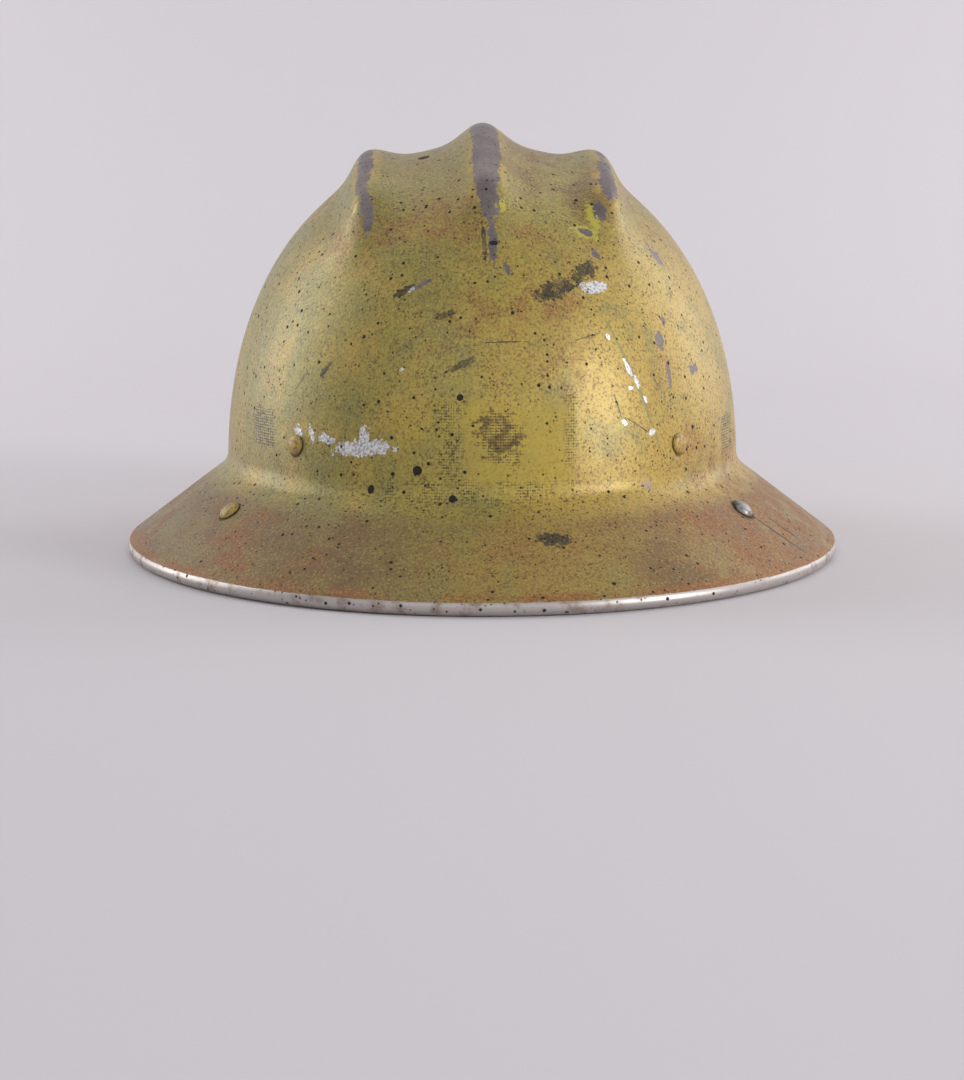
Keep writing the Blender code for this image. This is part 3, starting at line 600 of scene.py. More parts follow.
# each mark: kind, middle in mm, direction of its length, half length, half width, raggedness
shellMarks = (
    ("bright", (-48, -103, 50), (1, 0, 0.02), 8.5, 2.5, 1.2),
    ("bright", (-40, -105.5, 50.6), (1, 0, -0.02), 6.5, 2.4, 1.2),
    ("bright", (-44.5, -104, 53.5), (0.1, 0, 1), 4.2, 2.4, 1.2),
    ("bright", (-68, -84, 53), (0.5, 0, -1), 3.2, 1.7, 1.2),
    ("bright", (-62.5, -88, 54), (0.8, 0, -1.2), 3.6, 1.1, 1.2),
    ("bright", (-56.5, -92, 52), (1, 0, -0.2), 4.2, 1.5, 1.2),
    ("bright", (37.5, -86.5, 104.6), (1, 0, 0.45), 5.4, 2.3, 0.9),
    ("flash", (42.5, -95, 88.5), (0.5, 0, -1), 1.2, 0.9, 1.0),
    ("flash", (49.5, -94, 77), (0.4, 0, -1), 3.4, 0.9, 1.2),
    ("flash", (52.2, -93, 72.5), (0.4, 0, -1), 2.2, 0.9, 1.2),
    ("flash", (50, -95, 70.0), (1, 0, 0.2), 1.0, 0.8, 1.0),
    ("flash", (55.5, -92, 65.5), (0.5, 0, -1), 1.7, 0.7, 1.0),
    ("flash", (48.5, -101, 58.5), (1, 0, -0.8), 1.5, 0.8, 0.6),
    ("flash", (59.3, -94, 54.5), (1, 0, 0.4), 1.7, 1.1, 0.6),
    ("flash", (34, -90, 107), (1, 0, 0.9), 1.6, 0.9, 1.0),
    ("flash", (-27, -92, 104), (1, 0, 0.6), 1.4, 0.7, 1.0),
    ("flash", (-31, -105, 78), (1, 0, 0.6), 1.0, 0.5, 1.0),
    ("dull", (62.5, -80, 86), (0.1, 0, 1), 3.8, 1.9, 1.2),
    ("dull", (66, -82, 74), (0.1, 0, 1), 4.6, 1.1, 1.3),
    ("dull", (76.5, -68, 75), (1, 0, 0.3), 3.4, 1.7, 1.3),
    ("dull", (66, -76, 94), (0.2, 0, 1), 1.9, 1.2, 1.2),
    ("dull", (63, -55, 115), (0.5, 0, -1), 5.0, 2.0, 1.3),
    ("dull", (0.3, -73, 129.8), (0.03, -1, -0.9), 9.0, 4.0, 1.0),
    ("dull", (1.4, -84, 120.5), (0.05, 0, -1), 9.0, 1.7, 1.1),
    ("dull", (6.5, -92, 111), (0.2, 0, -1), 2.8, 0.8, 1.2),
    ("dull", (39.8, -64, 129.5), (0.2, -0.6, -1), 4.4, 2.2, 1.2),
    ("dull", (35, -72, 123.5), (1, 0, -0.3), 2.9, 1.5, 1.0),
    ("dull", (39.3, -79, 117.5), (0.3, 0, -1), 2.2, 1.5, 1.2),
    ("dull", (-41.6, -60, 130), (0.05, -1, -1), 7.5, 2.3, 0.9),
    ("dull", (-41.4, -66, 126.2), (0.2, 0, -1), 7.0, 1.8, 1.1),
    ("dull", (-23, -92, 106), (1, 0, 0.5), 4.2, 1.0, 1.3),
    ("purple", (61.5, -104, 36), (1, 0, 0.1), 3.4, 2.3, 1.2),
    ("lemon", (35, -72, 123.4), (1, 0, -0.35), 4.9, 2.6, 1.1),
    ("lemon", (38, -65.5, 128.5), (0.2, -0.6, -1), 5.0, 2.6, 1.3),
    ("lemon", (4.6, -75, 128.5), (0, 0, 1), 3.0, 1.6, 0.7),
    ("lemon", (-46.5, -60, 130), (0.1, 0, 1), 2.6, 1.0, 1.2),
    ("soot", (24, -93, 105), (1, 0, 0.65), 8.5, 3.6, 1.3),
    ("soot", (34, -86, 111), (0.9, 0, 1), 7.5, 3.0, 1.3),
    ("soot", (21, -130, 21.5), (1, 0, 0.2), 6.0, 3.2, 1.3),
    ("soot", (-30, -93, 105), (1, 0, 0.4), 4.0, 1.3, 1.3),
    ("soot", (-15, -100, 96), (1, 0, 0.3), 3.6, 1.3, 1.3),
    ("soot", (-1.4, -85, 120), (0.05, 0, -1), 6.5, 1.0, 1.2),
    ("soot", (-56, -86, 76), (1, 0, 0.8), 3.6, 1.0, 1.3),
    ("soot", (-9, -106, 79), (1, 0, 0.5), 5.5, 1.1, 1.3),
    ("dot", (-10.2, -110, 68.2), (1, 0, 0), 1.2, 1.2, 0.1),
    ("dot", (-25.2, -112, 43.2), (1, 0, 0), 1.65, 1.65, 0.1),
    ("dot", (-41.4, -106, 35.6), (1, 0, 0), 1.3, 1.3, 0.1),
    ("dot", (-13.1, -116, 33.4), (1, 0, 0), 1.35, 1.35, 0.1),
    ("dot", (-22, -27, 148.3), (1, 0, 0), 2.2, 2.6, 0.3),
    ("dot", (1.9, -86, 119.5), (1, 0, 0), 1.6, 0.9, 0.3),
    ("groove", (51.5, -93, 73), (0.45, 0, -1), 24.0, 0.85, 1.0),
    ("hairline", (45.3, -100, 64), (0.32, 0, -1), 6.4, 0.34, 0.9),
    ("hairline", (53.5, -97, 57), (1, 0, -0.4), 5.5, 0.30, 1.2),
    ("hairline", (-66, -80, 72), (1, 0, 0.7), 4.5, 0.30, 1.2),
    ("hairline", (5, -103, 86), (1, 0, 0.05), 8.0, 0.30, 1.3),
    ("hairline", (34, -97, 88), (1, 0, 0.4), 6.0, 0.26, 1.3),
    ("hairline", (66, -52, 114), (0.6, 0, -1), 5.0, 0.26, 0.9),
    ("hairline", (69, -48, 113), (0.6, 0, -1), 4.0, 0.26, 0.9),
    ("cut", (107, -76, 14.5), (20, -2, -14), 12.5, 0.85, 0.5),
    ("cut", (110.5, -68, 17), (15, 0, -14), 8.0, 0.65, 0.5),
    # foot: a painted shadow ring round the foot of each crown and brim rivet, where the head stands proud of
    # the shell
    ("foot", (69, -83.5, 48.6), (0.7, 0.7, 0), 4.0, 4.15, 0.2),
    ("foot", (-69, -83.5, 48.6), (0.7, -0.7, 0), 4.0, 4.15, 0.2),
    ("foot", (93.8, -75, 23.2), (0.5, 0.8, 0), 4.9, 5.2, 0.25),
    ("foot", (-93.8, -75, 23.2), (0.5, -0.8, 0), 4.5, 4.8, 0.25),
)


def colourMix(tree, share, first, second, blend="MIX"):
    node = addNode(tree, "ShaderNodeMix", data_type="RGBA", blend_type=blend)
    feed(tree, node.inputs[0], share)
    feed(tree, node.inputs[6], first)
    feed(tree, node.inputs[7], second)
    return node.outputs[2]


def numberMix(tree, share, first, second):
    node = addNode(tree, "ShaderNodeMix", data_type="FLOAT")
    feed(tree, node.inputs[0], share)
    feed(tree, node.inputs[2], first)
    feed(tree, node.inputs[3], second)
    return node.outputs[0]


def startMaterial(name):
    material = bpy.data.materials.new(name)
    material.use_nodes = True
    tree = material.node_tree
    coordinates = addNode(tree, "ShaderNodeTexCoord").outputs["Object"]
    return material, tree, tree.nodes["Principled BSDF"], coordinates


def finishShader(tree, shader, colour, roughness, metallic, height, strength, depth):
    # the last step of a finish: its colour and shine, and a bump for its relief
    feed(tree, shader.inputs["Base Color"], colour)
    feed(tree, shader.inputs["Roughness"], roughness)
    feed(tree, shader.inputs["Metallic"], metallic)
    bump = addNode(tree, "ShaderNodeBump", {"Height": height, "Strength": strength, "Distance": depth})
    feed(tree, shader.inputs["Normal"], bump.outputs[0])


def attributeNumber(tree, name):
    return addNode(tree, "ShaderNodeAttribute", attribute_name=name).outputs["Fac"]


def specks(tree, coordinates, scale, radius, softness=0.25):
    # round dots on the points of a Voronoi pattern, each with a size of its own
    node = addNode(tree, "ShaderNodeTexVoronoi", {"Vector": coordinates, "Scale": scale})
    own = addNode(tree, "ShaderNodeSeparateColor", {0: node.outputs["Color"]}).outputs[0]
    size = calc(tree, "MULTIPLY_ADD", own, radius * 0.75, radius * 0.35)
    away = calc(tree, "DIVIDE", node.outputs["Distance"], size)
    return ramp(tree, away, 1.0 - softness, 1.0 + softness, 1.0, 0.0)


def surfaceDirection(middle):
    # straight out of the shell at a place on the crown or the brim
    if middle.z > 0.036:
        return crownNormal(middle)
    level = Vector((middle.x / shellSizes["halfWidth"], middle.y / shellSizes["halfLength"], 0)).normalized()
    return math.sin(brimSlope()) * level + Vector((0, 0, math.cos(brimSlope())))


def markShare(tree, f, mark):
    middle, along, halfLong, halfWide, raggedness = mark[1:]
    depth = surfaceDirection(Vector(middle) * mm)
    lengthwise = Vector(along) - Vector(along).dot(depth) * depth
    lengthwise.normalize()
    turn = Matrix((lengthwise, depth, lengthwise.cross(depth))).transposed().to_euler()
    mapping = addNode(tree, "ShaderNodeMapping", {"Vector": f.at}, vector_type="TEXTURE")
    mapping.inputs["Location"].default_value = Vector(middle) * mm
    mapping.inputs["Rotation"].default_value = turn
    mapping.inputs["Scale"].default_value = (2 * halfLong * mm, markDepth, 2 * halfWide * mm)
    ball = addNode(tree, "ShaderNodeTexGradient", {0: mapping.outputs[0]}, gradient_type="SPHERICAL")
    far = calc(tree, "MULTIPLY_ADD", ball.outputs[1], -2.0, 2.0)
    rough = calc(tree, "MULTIPLY_ADD", f.ragged, raggedness, far)
    return ramp(tree, rough, 0.94, 1.06, 1.0, 0.0)


def between(tree, value, low, high, soft):
    rising = ramp(tree, value, low - soft, low + soft)
    return times(tree, rising, ramp(tree, value, high - soft, high + soft, 1.0, 0.0))


# noise scale, detail, roughness and distortion
paintNoises = {
    "broad": (13.0, 3.0, 0.55),
    "patchy": (48.0, 6.0, 0.62, 0.3),
    "cloudy": (150.0, 5.0, 0.6),
    "grain": (1050.0, 3.0, 0.70),
}

# upright boxes seen from the front: x from, to and softness, then height from, to and softness
paintAreas = {
    "label": (-0.034, 0.0295, 0.0006, 0.0345, 0.069, 0.0006),
    "cleanPart": (-0.0095, 0.0280, 0.0030, 0.0385, 0.0660, 0.0030),
    "leftBand": (-0.0185, -0.0095, 0.0022, 0.0395, 0.069, 0.003),
    "lowBand": (-0.037, 0.030, 0.002, 0.0325, 0.0395, 0.0012),
    "rightBand": (0.0262, 0.0312, 0.0014, 0.045, 0.0715, 0.003),
    "stampRight": (-0.0857, -0.0773, 0.0006, 0.0467, 0.0603, 0.0006),
    "stampLeft": (0.0885, 0.0945, 0.0006, 0.0425, 0.0555, 0.0006),
}

paintAmounts = {
    "orangeSide": 0.8,
    "greenSide": 0.45,
    "orangePatches": 0.5,
    "greenPatches": 0.55,
    "topGreen": 0.40,
    "topBrown": 0.80,
    "brimRust": 0.85,
    "crownRust": 0.55,
    "edgeRust": 0.8,
    "label": 0.30,
    "darkGrain": 0.90,
    "crazedBands": 0.72,
    "stampLines": 0.8,
    "stainCore": 0.88,
    "stainLines": 0.75,
    "soot": 0.94,
    "crestRim": 0.7,
    "specks": 0.98,
}

crazeLines = {"rowPitch": 0.00098, "columnPitch": 0.00085, "row": 0.55, "column": 0.30, "grain": 3.6}
speckSizes = {"fine": (480.0, 0.21), "medium": (235.0, 0.15), "large": (120.0, 0.09)}
stainMark = ("stain", (3.5, -114, 55), (1, 0, 0.15), 7.5, 9.5, 1.3)

# how each kind of mark colours the paint; soot, dots and bare metal are laid by their own stages
markColours = {
    "groove": ("greenOlive", 0.70),
    "hairline": ("soot", 0.75),
    "cut": ("soot", 0.85),
    # the foot rings take the soot colour as painted shadow under the rivet heads, not as soot
    "foot": ("soot", 0.75),
    "lemon": ("lemon", 0.85),
    "purple": ("mauve", 0.5),
}

paintShine = {
    "paintRough": 0.34,
    "matteRough": 0.30,
    "dullRough": 0.43,
    "brightRough": 0.36,
    "speckRough": 0.85,
    "paintMetal": 0.24,
    "dullMetal": 0.66,
    "edgeMetal": 0.78,
    "brightMetal": 0.35,
    "flashMetal": 0.95,
    "coat": 0.18,
    "coatLostOnBrim": -0.10,
    "coatRough": 0.30,
}


def inArea(tree, f, name):
    lowX, highX, softX, lowZ, highZ, softZ = paintAreas[name]
    inX = between(tree, f.x, lowX, highX, softX)
    return times(tree, inX, between(tree, f.z, lowZ, highZ, softZ))


def paintFields(tree, coordinates):
    # what every layer reads: places, the shell's own attributes and the shared noises
    x, y, z = splitVector(tree, coordinates)
    f = SimpleNamespace(at=coordinates, x=x, y=y, z=z)
    f.ridge, f.brim, f.bead = [attributeNumber(tree, name) for name in ("ridge", "brim", "bead")]
    f.front = ramp(tree, y, -0.03, -0.01, 1.0, 0.0)
    for name, sizes in paintNoises.items():
        setattr(f, name, noise(tree, coordinates, *sizes))
    f.ragged = times(tree, minus(tree, noise(tree, coordinates, 420.0, 5.0, 0.7), 0.5), 2.6)
    return f


# Each stage yields layers from the sheet outwards: a colour, then the shares that are multiplied.
# The nodes are made in the order in which they are used.

def groundLayers(tree, f):
    # yellow going green to one side and orange to the other
    orangeLine = calc(tree, "MULTIPLY_ADD", minus(tree, f.broad, 0.5), 0.10, f.x)
    orangeSide = ramp(tree, orangeLine, -0.015, 0.075)
    greenLine = calc(tree, "MULTIPLY_ADD", minus(tree, f.patchy, 0.5), 0.16, f.x)
    greenSide = ramp(tree, greenLine, 0.02, -0.085)
    yield "goldenOrange", orangeSide, paintAmounts["orangeSide"]
    yield "greenOlive", greenSide, paintAmounts["greenSide"]
    yield "goldenOrange", ramp(tree, f.patchy, 0.50, 0.62), paintAmounts["orangePatches"]
    yield "greenOlive", ramp(tree, f.patchy, 0.50, 0.36), paintAmounts["greenPatches"]


def dirtLayers(tree, f):
    # the crown's top and the brim hold more dirt
    topDirt = ramp(tree, plus(tree, f.z, times(tree, minus(tree, f.cloudy, 0.5), 0.03)), 0.10, 0.15)
    yield "greenOlive", topDirt, paintAmounts["topGreen"]
    toLeft = (tree, f.x, -0.03, 0.03, 0.25, 1.0)
    yield "brimBrown", topDirt, ramp(tree, f.patchy, 0.42, 0.60), ramp(*toLeft), paintAmounts["topBrown"]
    f.sideReach = calc(tree, "ABSOLUTE", minus(tree, f.x, 0.008))
    onBrim = ramp(tree, f.brim, -0.02, 0.25)
    patches = ramp(tree, f.patchy, 0.36, 0.60, 0.50, 1.0)
    yield "brimBrown", onBrim, patches, ramp(tree, f.sideReach, 0.01, 0.06, 0.46, 0.95)


def rustLayers(tree, f):
    # rust bleeding over the brim, in small blooms on the crown and along the edge
    bloom = noise(tree, f.at, 16.0, 6.0, 0.62, 0.6)
    sideways = ramp(tree, f.sideReach, 0.02, 0.07, 0.35, 1.0)
    onBrim = times(tree, ramp(tree, bloom, 0.44, 0.58), ramp(tree, f.brim, 0.0, 0.3),
                   ramp(tree, f.cloudy, 0.3, 0.6), sideways, paintAmounts["brimRust"])
    onCrown = times(tree, ramp(tree, bloom, 0.52, 0.66), ramp(tree, f.cloudy, 0.35, 0.6),
                    paintAmounts["crownRust"])
    onEdge = times(tree, between(tree, f.brim, 0.93, 1.3, 0.03), ramp(tree, f.patchy, 0.35, 0.55),
                   paintAmounts["edgeRust"])
    f.rust = greatest(tree, (onBrim, onCrown, onEdge))
    yield "rust", f.rust


def labelLayers(tree, f):
    # the clean, matte patch where a label once was
    f.inLabel = times(tree, inArea(tree, f, "label"), f.front)
    f.cleanPart = times(tree, inArea(tree, f, "cleanPart"), f.front)
    yield "ghostYellow", f.inLabel, paintAmounts["label"]
    yield "ghostYellow", f.cleanPart, ramp(tree, f.patchy, 0.25, 0.60, 0.30, 0.62)


def grainLayers(tree, f):
    # fine brown grain over everything, thinner on the clean patch
    grainy = calc(tree, "MULTIPLY_ADD", f.cleanPart, -0.62, 1.0)
    f.brimFade = ramp(tree, f.brim, 0.0, 0.2)
    dark = ramp(tree, f.grain, 0.50, 0.63)
    yield "grainBrown", dark, ramp(tree, f.cloudy, 0.25, 0.65, 0.5, 1.0), grainy, paintAmounts["darkGrain"]
    light = ramp(tree, f.grain, 0.47, 0.34)
    yield "paleYellow", light, grainy, ramp(tree, f.brimFade, 0.0, 1.0, 0.55, 0.40)


def crazedLayers(tree, f):
    # crazed bands round the patch and two small squares, laid in short level dashes
    rows = calc(tree, "SINE", times(tree, f.z, math.tau / crazeLines["rowPitch"]))
    rows = times(tree, rows, crazeLines["row"])
    columns = calc(tree, "SINE", times(tree, f.x, math.tau / crazeLines["columnPitch"]))
    columns = times(tree, columns, crazeLines["column"])
    dashes = plus(tree, rows, columns, times(tree, f.grain, crazeLines["grain"]))
    crazed = times(tree, ramp(tree, dashes, 2.02, 2.34), ramp(tree, f.cloudy, 0.36, 0.54))
    bands = [inArea(tree, f, name) for name in ("leftBand", "lowBand", "rightBand")]
    bands = times(tree, greatest(tree, bands), f.front)
    nearFront = ramp(tree, f.y, -0.036, -0.030, 1.0, 0.0)
    stamps = [times(tree, inArea(tree, f, name), nearFront) for name in ("stampRight", "stampLeft")]
    stampDashes = ramp(tree, dashes, 1.75, 2.05)
    stampLines = times(tree, stampDashes, greatest(tree, stamps), paintAmounts["stampLines"])
    f.crazing = greatest(tree, (times(tree, crazed, bands, paintAmounts["crazedBands"]), stampLines))
    yield "soot", f.crazing
    stain = times(tree, markShare(tree, f, stainMark), f.front)
    f.stainCore = times(tree, stain, ramp(tree, f.cloudy, 0.40, 0.58))
    yield "grainBrown", f.stainCore, paintAmounts["stainCore"]
    yield "soot", stain, ramp(tree, dashes, 1.9, 2.2), paintAmounts["stainLines"]


def markLayers(tree, f):
    # the listed marks, joined kind by kind
    f.marks = {}
    for mark in shellMarks:
        kind = mark[0]
        share = times(tree, markShare(tree, f, mark), f.front)
        f.marks[kind] = greatest(tree, (share, f.marks[kind])) if kind in f.marks else share
    thin = ramp(tree, f.cloudy, 0.34, 0.54, 0.5, 1.0)
    yield "soot", f.marks["soot"], thin, ramp(tree, f.grain, 0.34, 0.50, 0.55, 1.0), paintAmounts["soot"]
    # the foot kind lays the painted shadow rings round the rivets
    for kind, (layer, amount) in markColours.items():
        yield layer, f.marks[kind], amount


def bareLayers(tree, f):
    # ridge crests worn through to the sheet, with paint clinging along their edges
    sideRidge = ramp(tree, calc(tree, "ABSOLUTE", f.x), 0.015, 0.030, 0.0, -0.10)
    patches = times(tree, minus(tree, f.patchy, 0.5), 0.50)
    wear = plus(tree, f.ridge, sideRidge, patches, times(tree, f.ragged, 0.12))
    crest = ramp(tree, wear, 0.80, 0.84)
    rim = ramp(tree, wear, 0.52, 0.78)
    yield "goldenOrange", rim, ramp(tree, f.cloudy, 0.40, 0.56), paintAmounts["crestRim"]

    # round the back, chips fall where the noise puts them
    chipNoise = calc(tree, "MULTIPLY_ADD", f.ragged, 0.06, noise(tree, f.at, 62.0, 1.0, 0.5))
    chips = times(tree, ramp(tree, chipNoise, 0.735, 0.75), minus(tree, 1.0, f.front))
    f.dull = greatest(tree, (crest, f.marks["dull"], chips))
    colours = paintColours
    dullColour = colourMix(tree, ramp(tree, f.patchy, 0.35, 0.65), colours["dullMetal"], colours["dullMauve"])
    grime = times(tree, ramp(tree, f.grain, 0.5, 0.64), 0.5)
    yield colourMix(tree, grime, dullColour, colours["grainBrown"]), f.dull

    # the rolled edge is rubbed bare by handling
    edge = plus(tree, f.bead, times(tree, minus(tree, f.cloudy, 0.5), 0.45), times(tree, f.ragged, 0.12))
    f.bareEdge = ramp(tree, edge, 0.28, 0.38)
    edgeStain = times(tree, ramp(tree, f.cloudy, 0.50, 0.68), 0.7)
    yield colourMix(tree, edgeStain, colours["edgeMetal"], colours["edgeStain"]), f.bareEdge

    # fresh chips, bright and flat
    f.bright = greatest(tree, (f.marks["bright"], f.marks["flash"]))
    chipGrain = ramp(tree, f.grain, 0.44, 0.58)
    yield colourMix(tree, chipGrain, colours["brightMetal"], colours["chipGrey"]), f.bright


def speckLayers(tree, f):
    # black specks in three sizes
    fine = specks(tree, f.at, *speckSizes["fine"])
    fine = times(tree, fine, ramp(tree, f.cloudy, 0.40, 0.56), 0.9)
    medium = specks(tree, f.at, *speckSizes["medium"])
    large = specks(tree, f.at, *speckSizes["large"])
    f.dots = greatest(tree, (fine, medium, large, f.marks["dot"]))
    yield "black", f.dots, paintAmounts["specks"]


def makeShellPaint():
    material, tree, shader, coordinates = startMaterial("wornYellowPaint")
    f = paintFields(tree, coordinates)
    colour = paintColours["oliveYellow"]
    stages = (groundLayers, dirtLayers, rustLayers, labelLayers, grainLayers,
              crazedLayers, markLayers, bareLayers, speckLayers)
    for stage in stages:
        for layer, *shares in stage(tree, f):
            over = paintColours[layer] if isinstance(layer, str) else layer
            colour = colourMix(tree, times(tree, *shares), colour, over)

    s = paintShine
    bare = greatest(tree, (f.dull, f.bareEdge, f.bright))
    painted = minus(tree, 1.0, bare)
    matte = greatest(tree, (times(tree, f.inLabel, 0.6), f.cleanPart, f.stainCore, f.marks["foot"]))
    paintRough = plus(tree, s["paintRough"], times(tree, f.cloudy, 0.18),
                      times(tree, matte, s["matteRough"]), times(tree, f.rust, 0.16))
    metalRough = numberMix(tree, f.bareEdge, s["dullRough"], calc(tree, "MULTIPLY_ADD", f.cloudy, 0.30, 0.27))
    metalRough = numberMix(tree, f.bright, metalRough, s["brightRough"])
    roughness = numberMix(tree, f.dots, numberMix(tree, bare, paintRough, metalRough), s["speckRough"])
    metal = numberMix(tree, f.dull, s["paintMetal"], s["dullMetal"])
    metal = numberMix(tree, f.bareEdge, metal, s["edgeMetal"])
    brightMetal = numberMix(tree, f.marks["flash"], s["brightMetal"], s["flashMetal"])
    metal = numberMix(tree, f.bright, metal, brightMetal)
    keep = times(tree, minus(tree, 1.0, f.dots), calc(tree, "MULTIPLY_ADD", matte, -0.8, 1.0))

    height = plus(tree, times(tree, painted, 0.6), times(tree, f.grain, 0.35), times(tree, f.patchy, 0.5),
                  times(tree, f.dots, -0.4), times(tree, f.crazing, -0.3),
                  times(tree, f.marks["cut"], -1.2), times(tree, f.marks["groove"], -0.5))
    bump = addNode(tree, "ShaderNodeBump", {"Height": height, "Strength": 0.5, "Distance": 0.00018})
    feed(tree, shader.inputs["Base Color"], colour)
    feed(tree, shader.inputs["Roughness"], roughness)
    feed(tree, shader.inputs["Metallic"], times(tree, metal, keep))
    feed(tree, shader.inputs["Normal"], bump.outputs[0])
    coat = times(tree, painted, keep, calc(tree, "MULTIPLY_ADD", f.brimFade, s["coatLostOnBrim"], s["coat"]))
    feed(tree, shader.inputs["Coat Weight"], coat)
    shader.inputs["Coat Roughness"].default_value = s["coatRough"]
    return material


def makeInsideMetal():
    material, tree, shader, coordinates = startMaterial("insideAluminium")
    patchy = noise(tree, coordinates, 30.0, 6.0, 0.6)
    streaks = noise(tree, vectorCalc(tree, "MULTIPLY", coordinates, (1.0, 0.12, 1.0)), 420.0, 3.0, 0.6)
    dulled = ramp(tree, patchy, 0.35, 0.65)
    colour = colourMix(tree, dulled, paintColours["insideMetal"], (0.36, 0.335, 0.30, 1.0))
    colour = colourMix(tree, times(tree, ramp(tree, streaks, 0.5, 0.7), 0.4), colour, (0.62, 0.61, 0.60, 1.0))
    spots = times(tree, specks(tree, coordinates, 260.0, 0.11), 0.7)
    colour = colourMix(tree, spots, colour, (0.10, 0.08, 0.06, 1.0))
    roughness = calc(tree, "MULTIPLY_ADD", patchy, 0.35, 0.30)
    finishShader(tree, shader, colour, roughness, 0.9, streaks, 0.2, 0.0001)
    return material


def makeShell():
    paint = makeShellPaint()
    tree, sizes = shellTree()
    shell = runTree("hatShell", shellSeedMesh(), tree, {**sizes, "Paint": paint})
    shell.data.materials.clear()
    shell.data.materials.append(paint)
    shell.data.materials.append(makeInsideMetal())
    shell.data.polygons.foreach_set("material_index", [0] * len(shell.data.polygons))
    wall = shell.modifiers.new("wall", "SOLIDIFY")
    wall.thickness = shellSizes["sheet"]
    wall.offset = -1.0
    wall.use_even_offset = True
    wall.material_offset = 1
    wall.material_offset_rim = 1
    finishModifiers(shell)
    shell.data.shade_smooth()
    shell.data.set_sharp_from_angle(angle=math.radians(60))
    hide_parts("shell")
    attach(shell, "shell_assembly")
    return shell


print("shell")
makeShell()

# Mesh helpers

def meshObject(name, points, faces, turnRight=True):
    mesh = bpy.data.meshes.new(name)
    mesh.from_pydata([tuple(point) for point in points], [], faces)
    if turnRight:
        shape = bmesh.new()
        shape.from_mesh(mesh)
        bmesh.ops.recalc_face_normals(shape, faces=shape.faces)
        shape.to_mesh(mesh)
        shape.free()
    mesh.shade_smooth()
    mesh.set_sharp_from_angle(angle=math.radians(48))
    return newObject(name, mesh)


def ringFaces(rings, count, closedRun=False):
    faces = []
    for row in range(rings if closedRun else rings - 1):
        first, second = row * count, (row + 1) % rings * count
        for place in range(count):
            after = (place + 1) % count
            faces.append((first + place, first + after, second + after, second + place))
    return faces


def smoothLine(points, steps):
    line = []
    last = len(points) - 1
    for place in range(last):
        first, second = points[place], points[place + 1]
        span = (second - first).length
        leave = (second - points[max(0, place - 1)]).normalized() * span
        arrive = (points[min(last, place + 2)] - first).normalized() * span
        for step in range(steps):
            t = step / steps
            a, b = (1 + 2 * t) * (1 - t) ** 2, t * (1 - t) ** 2
            c, d = t * t * (3 - 2 * t), t * t * (t - 1)
            line.append(first * a + leave * b + second * c + arrive * d)
    return line + [points[last]]


def shareOut(values, steps):
    spread = []
    for first, second in zip(values, values[1:]):
        spread += [first.lerp(second, step / steps) for step in range(steps)]
    return spread + [values[-1]]


def addFinish(item, material, body, replaced):
    item.data.materials.clear()
    item.data.materials.append(material)
    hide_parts(*replaced)
    if body:
        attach(item, body)
    return item


def refinedCopy(name, nodes, bevel):
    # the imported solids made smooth: loose triangles merged, flats joined, edges rounded
    shape = bmesh.new()
    for node in nodes:
        shape.from_mesh(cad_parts[node].data)
    bmesh.ops.remove_doubles(shape, verts=shape.verts, dist=0.000002)
    bmesh.ops.dissolve_limit(shape, angle_limit=math.radians(0.6), verts=shape.verts, edges=shape.edges)
    mesh = bpy.data.meshes.new(name)
    shape.to_mesh(mesh)
    shape.free()
    item = newObject(name, mesh)
    rounding = item.modifiers.new("rounding", "BEVEL")
    rounding.width = bevel
    rounding.segments = 2
    rounding.limit_method = "ANGLE"
    rounding.angle_limit = math.radians(38)
    finishModifiers(item)
    item.data.shade_smooth()
    item.data.set_sharp_from_angle(angle=math.radians(42))
    return item


# Finishes for the fittings and the suspension

metalFinishes = {
    "platedSteel": {
        "colour": (0.46, 0.45, 0.43, 1), "worn": (0.22, 0.19, 0.16, 1),
        "rough": 0.34, "rust": 0.62, "metal": 0.95,
    },
    "wireSteel": {
        "colour": (0.42, 0.41, 0.40, 1), "worn": (0.17, 0.12, 0.09, 1),
        "rough": 0.30, "rust": 0.60, "metal": 0.95,
    },
    "oldBrass": {
        "colour": (0.56, 0.40, 0.17, 1), "worn": (0.20, 0.13, 0.06, 1),
        "rough": 0.33, "rust": 0.60, "metal": 0.95,
    },
    "bareRivet": {
        "colour": (0.36, 0.34, 0.33, 1), "worn": (0.16, 0.13, 0.11, 1),
        "rough": 0.40, "rust": 0.56, "metal": 0.85,
    },
}

threadSizes = {"length": 0.0022, "radius": 0.00028, "pitch": 0.0031, "seed": 4}


def makeMetal(name):
    values = metalFinishes[name]
    material, tree, shader, coordinates = startMaterial(name)
    patchy = noise(tree, coordinates, 160.0, 5.0, 0.62)
    fine = noise(tree, coordinates, 1100.0, 3.0, 0.6)
    scratches = noise(tree, vectorCalc(tree, "MULTIPLY", coordinates, (0.25, 1.0, 1.0)), 1500.0, 2.0, 0.5)
    tarnish = ramp(tree, patchy, values["rust"] - 0.10, values["rust"] + 0.06)
    colour = colourMix(tree, tarnish, values["colour"], values["worn"])
    colour = colourMix(tree, times(tree, ramp(tree, fine, 0.52, 0.7), 0.35), colour, values["worn"])
    roughness = plus(tree, values["rough"] - 0.08, times(tree, patchy, 0.2), times(tree, tarnish, 0.3))
    metallic = calc(tree, "MULTIPLY_ADD", tarnish, -0.5, values["metal"])
    height = plus(tree, times(tree, scratches, 0.5), times(tree, patchy, 0.6), times(tree, tarnish, -0.4))
    finishShader(tree, shader, colour, roughness, metallic, height, 0.35, 0.0001)
    return material


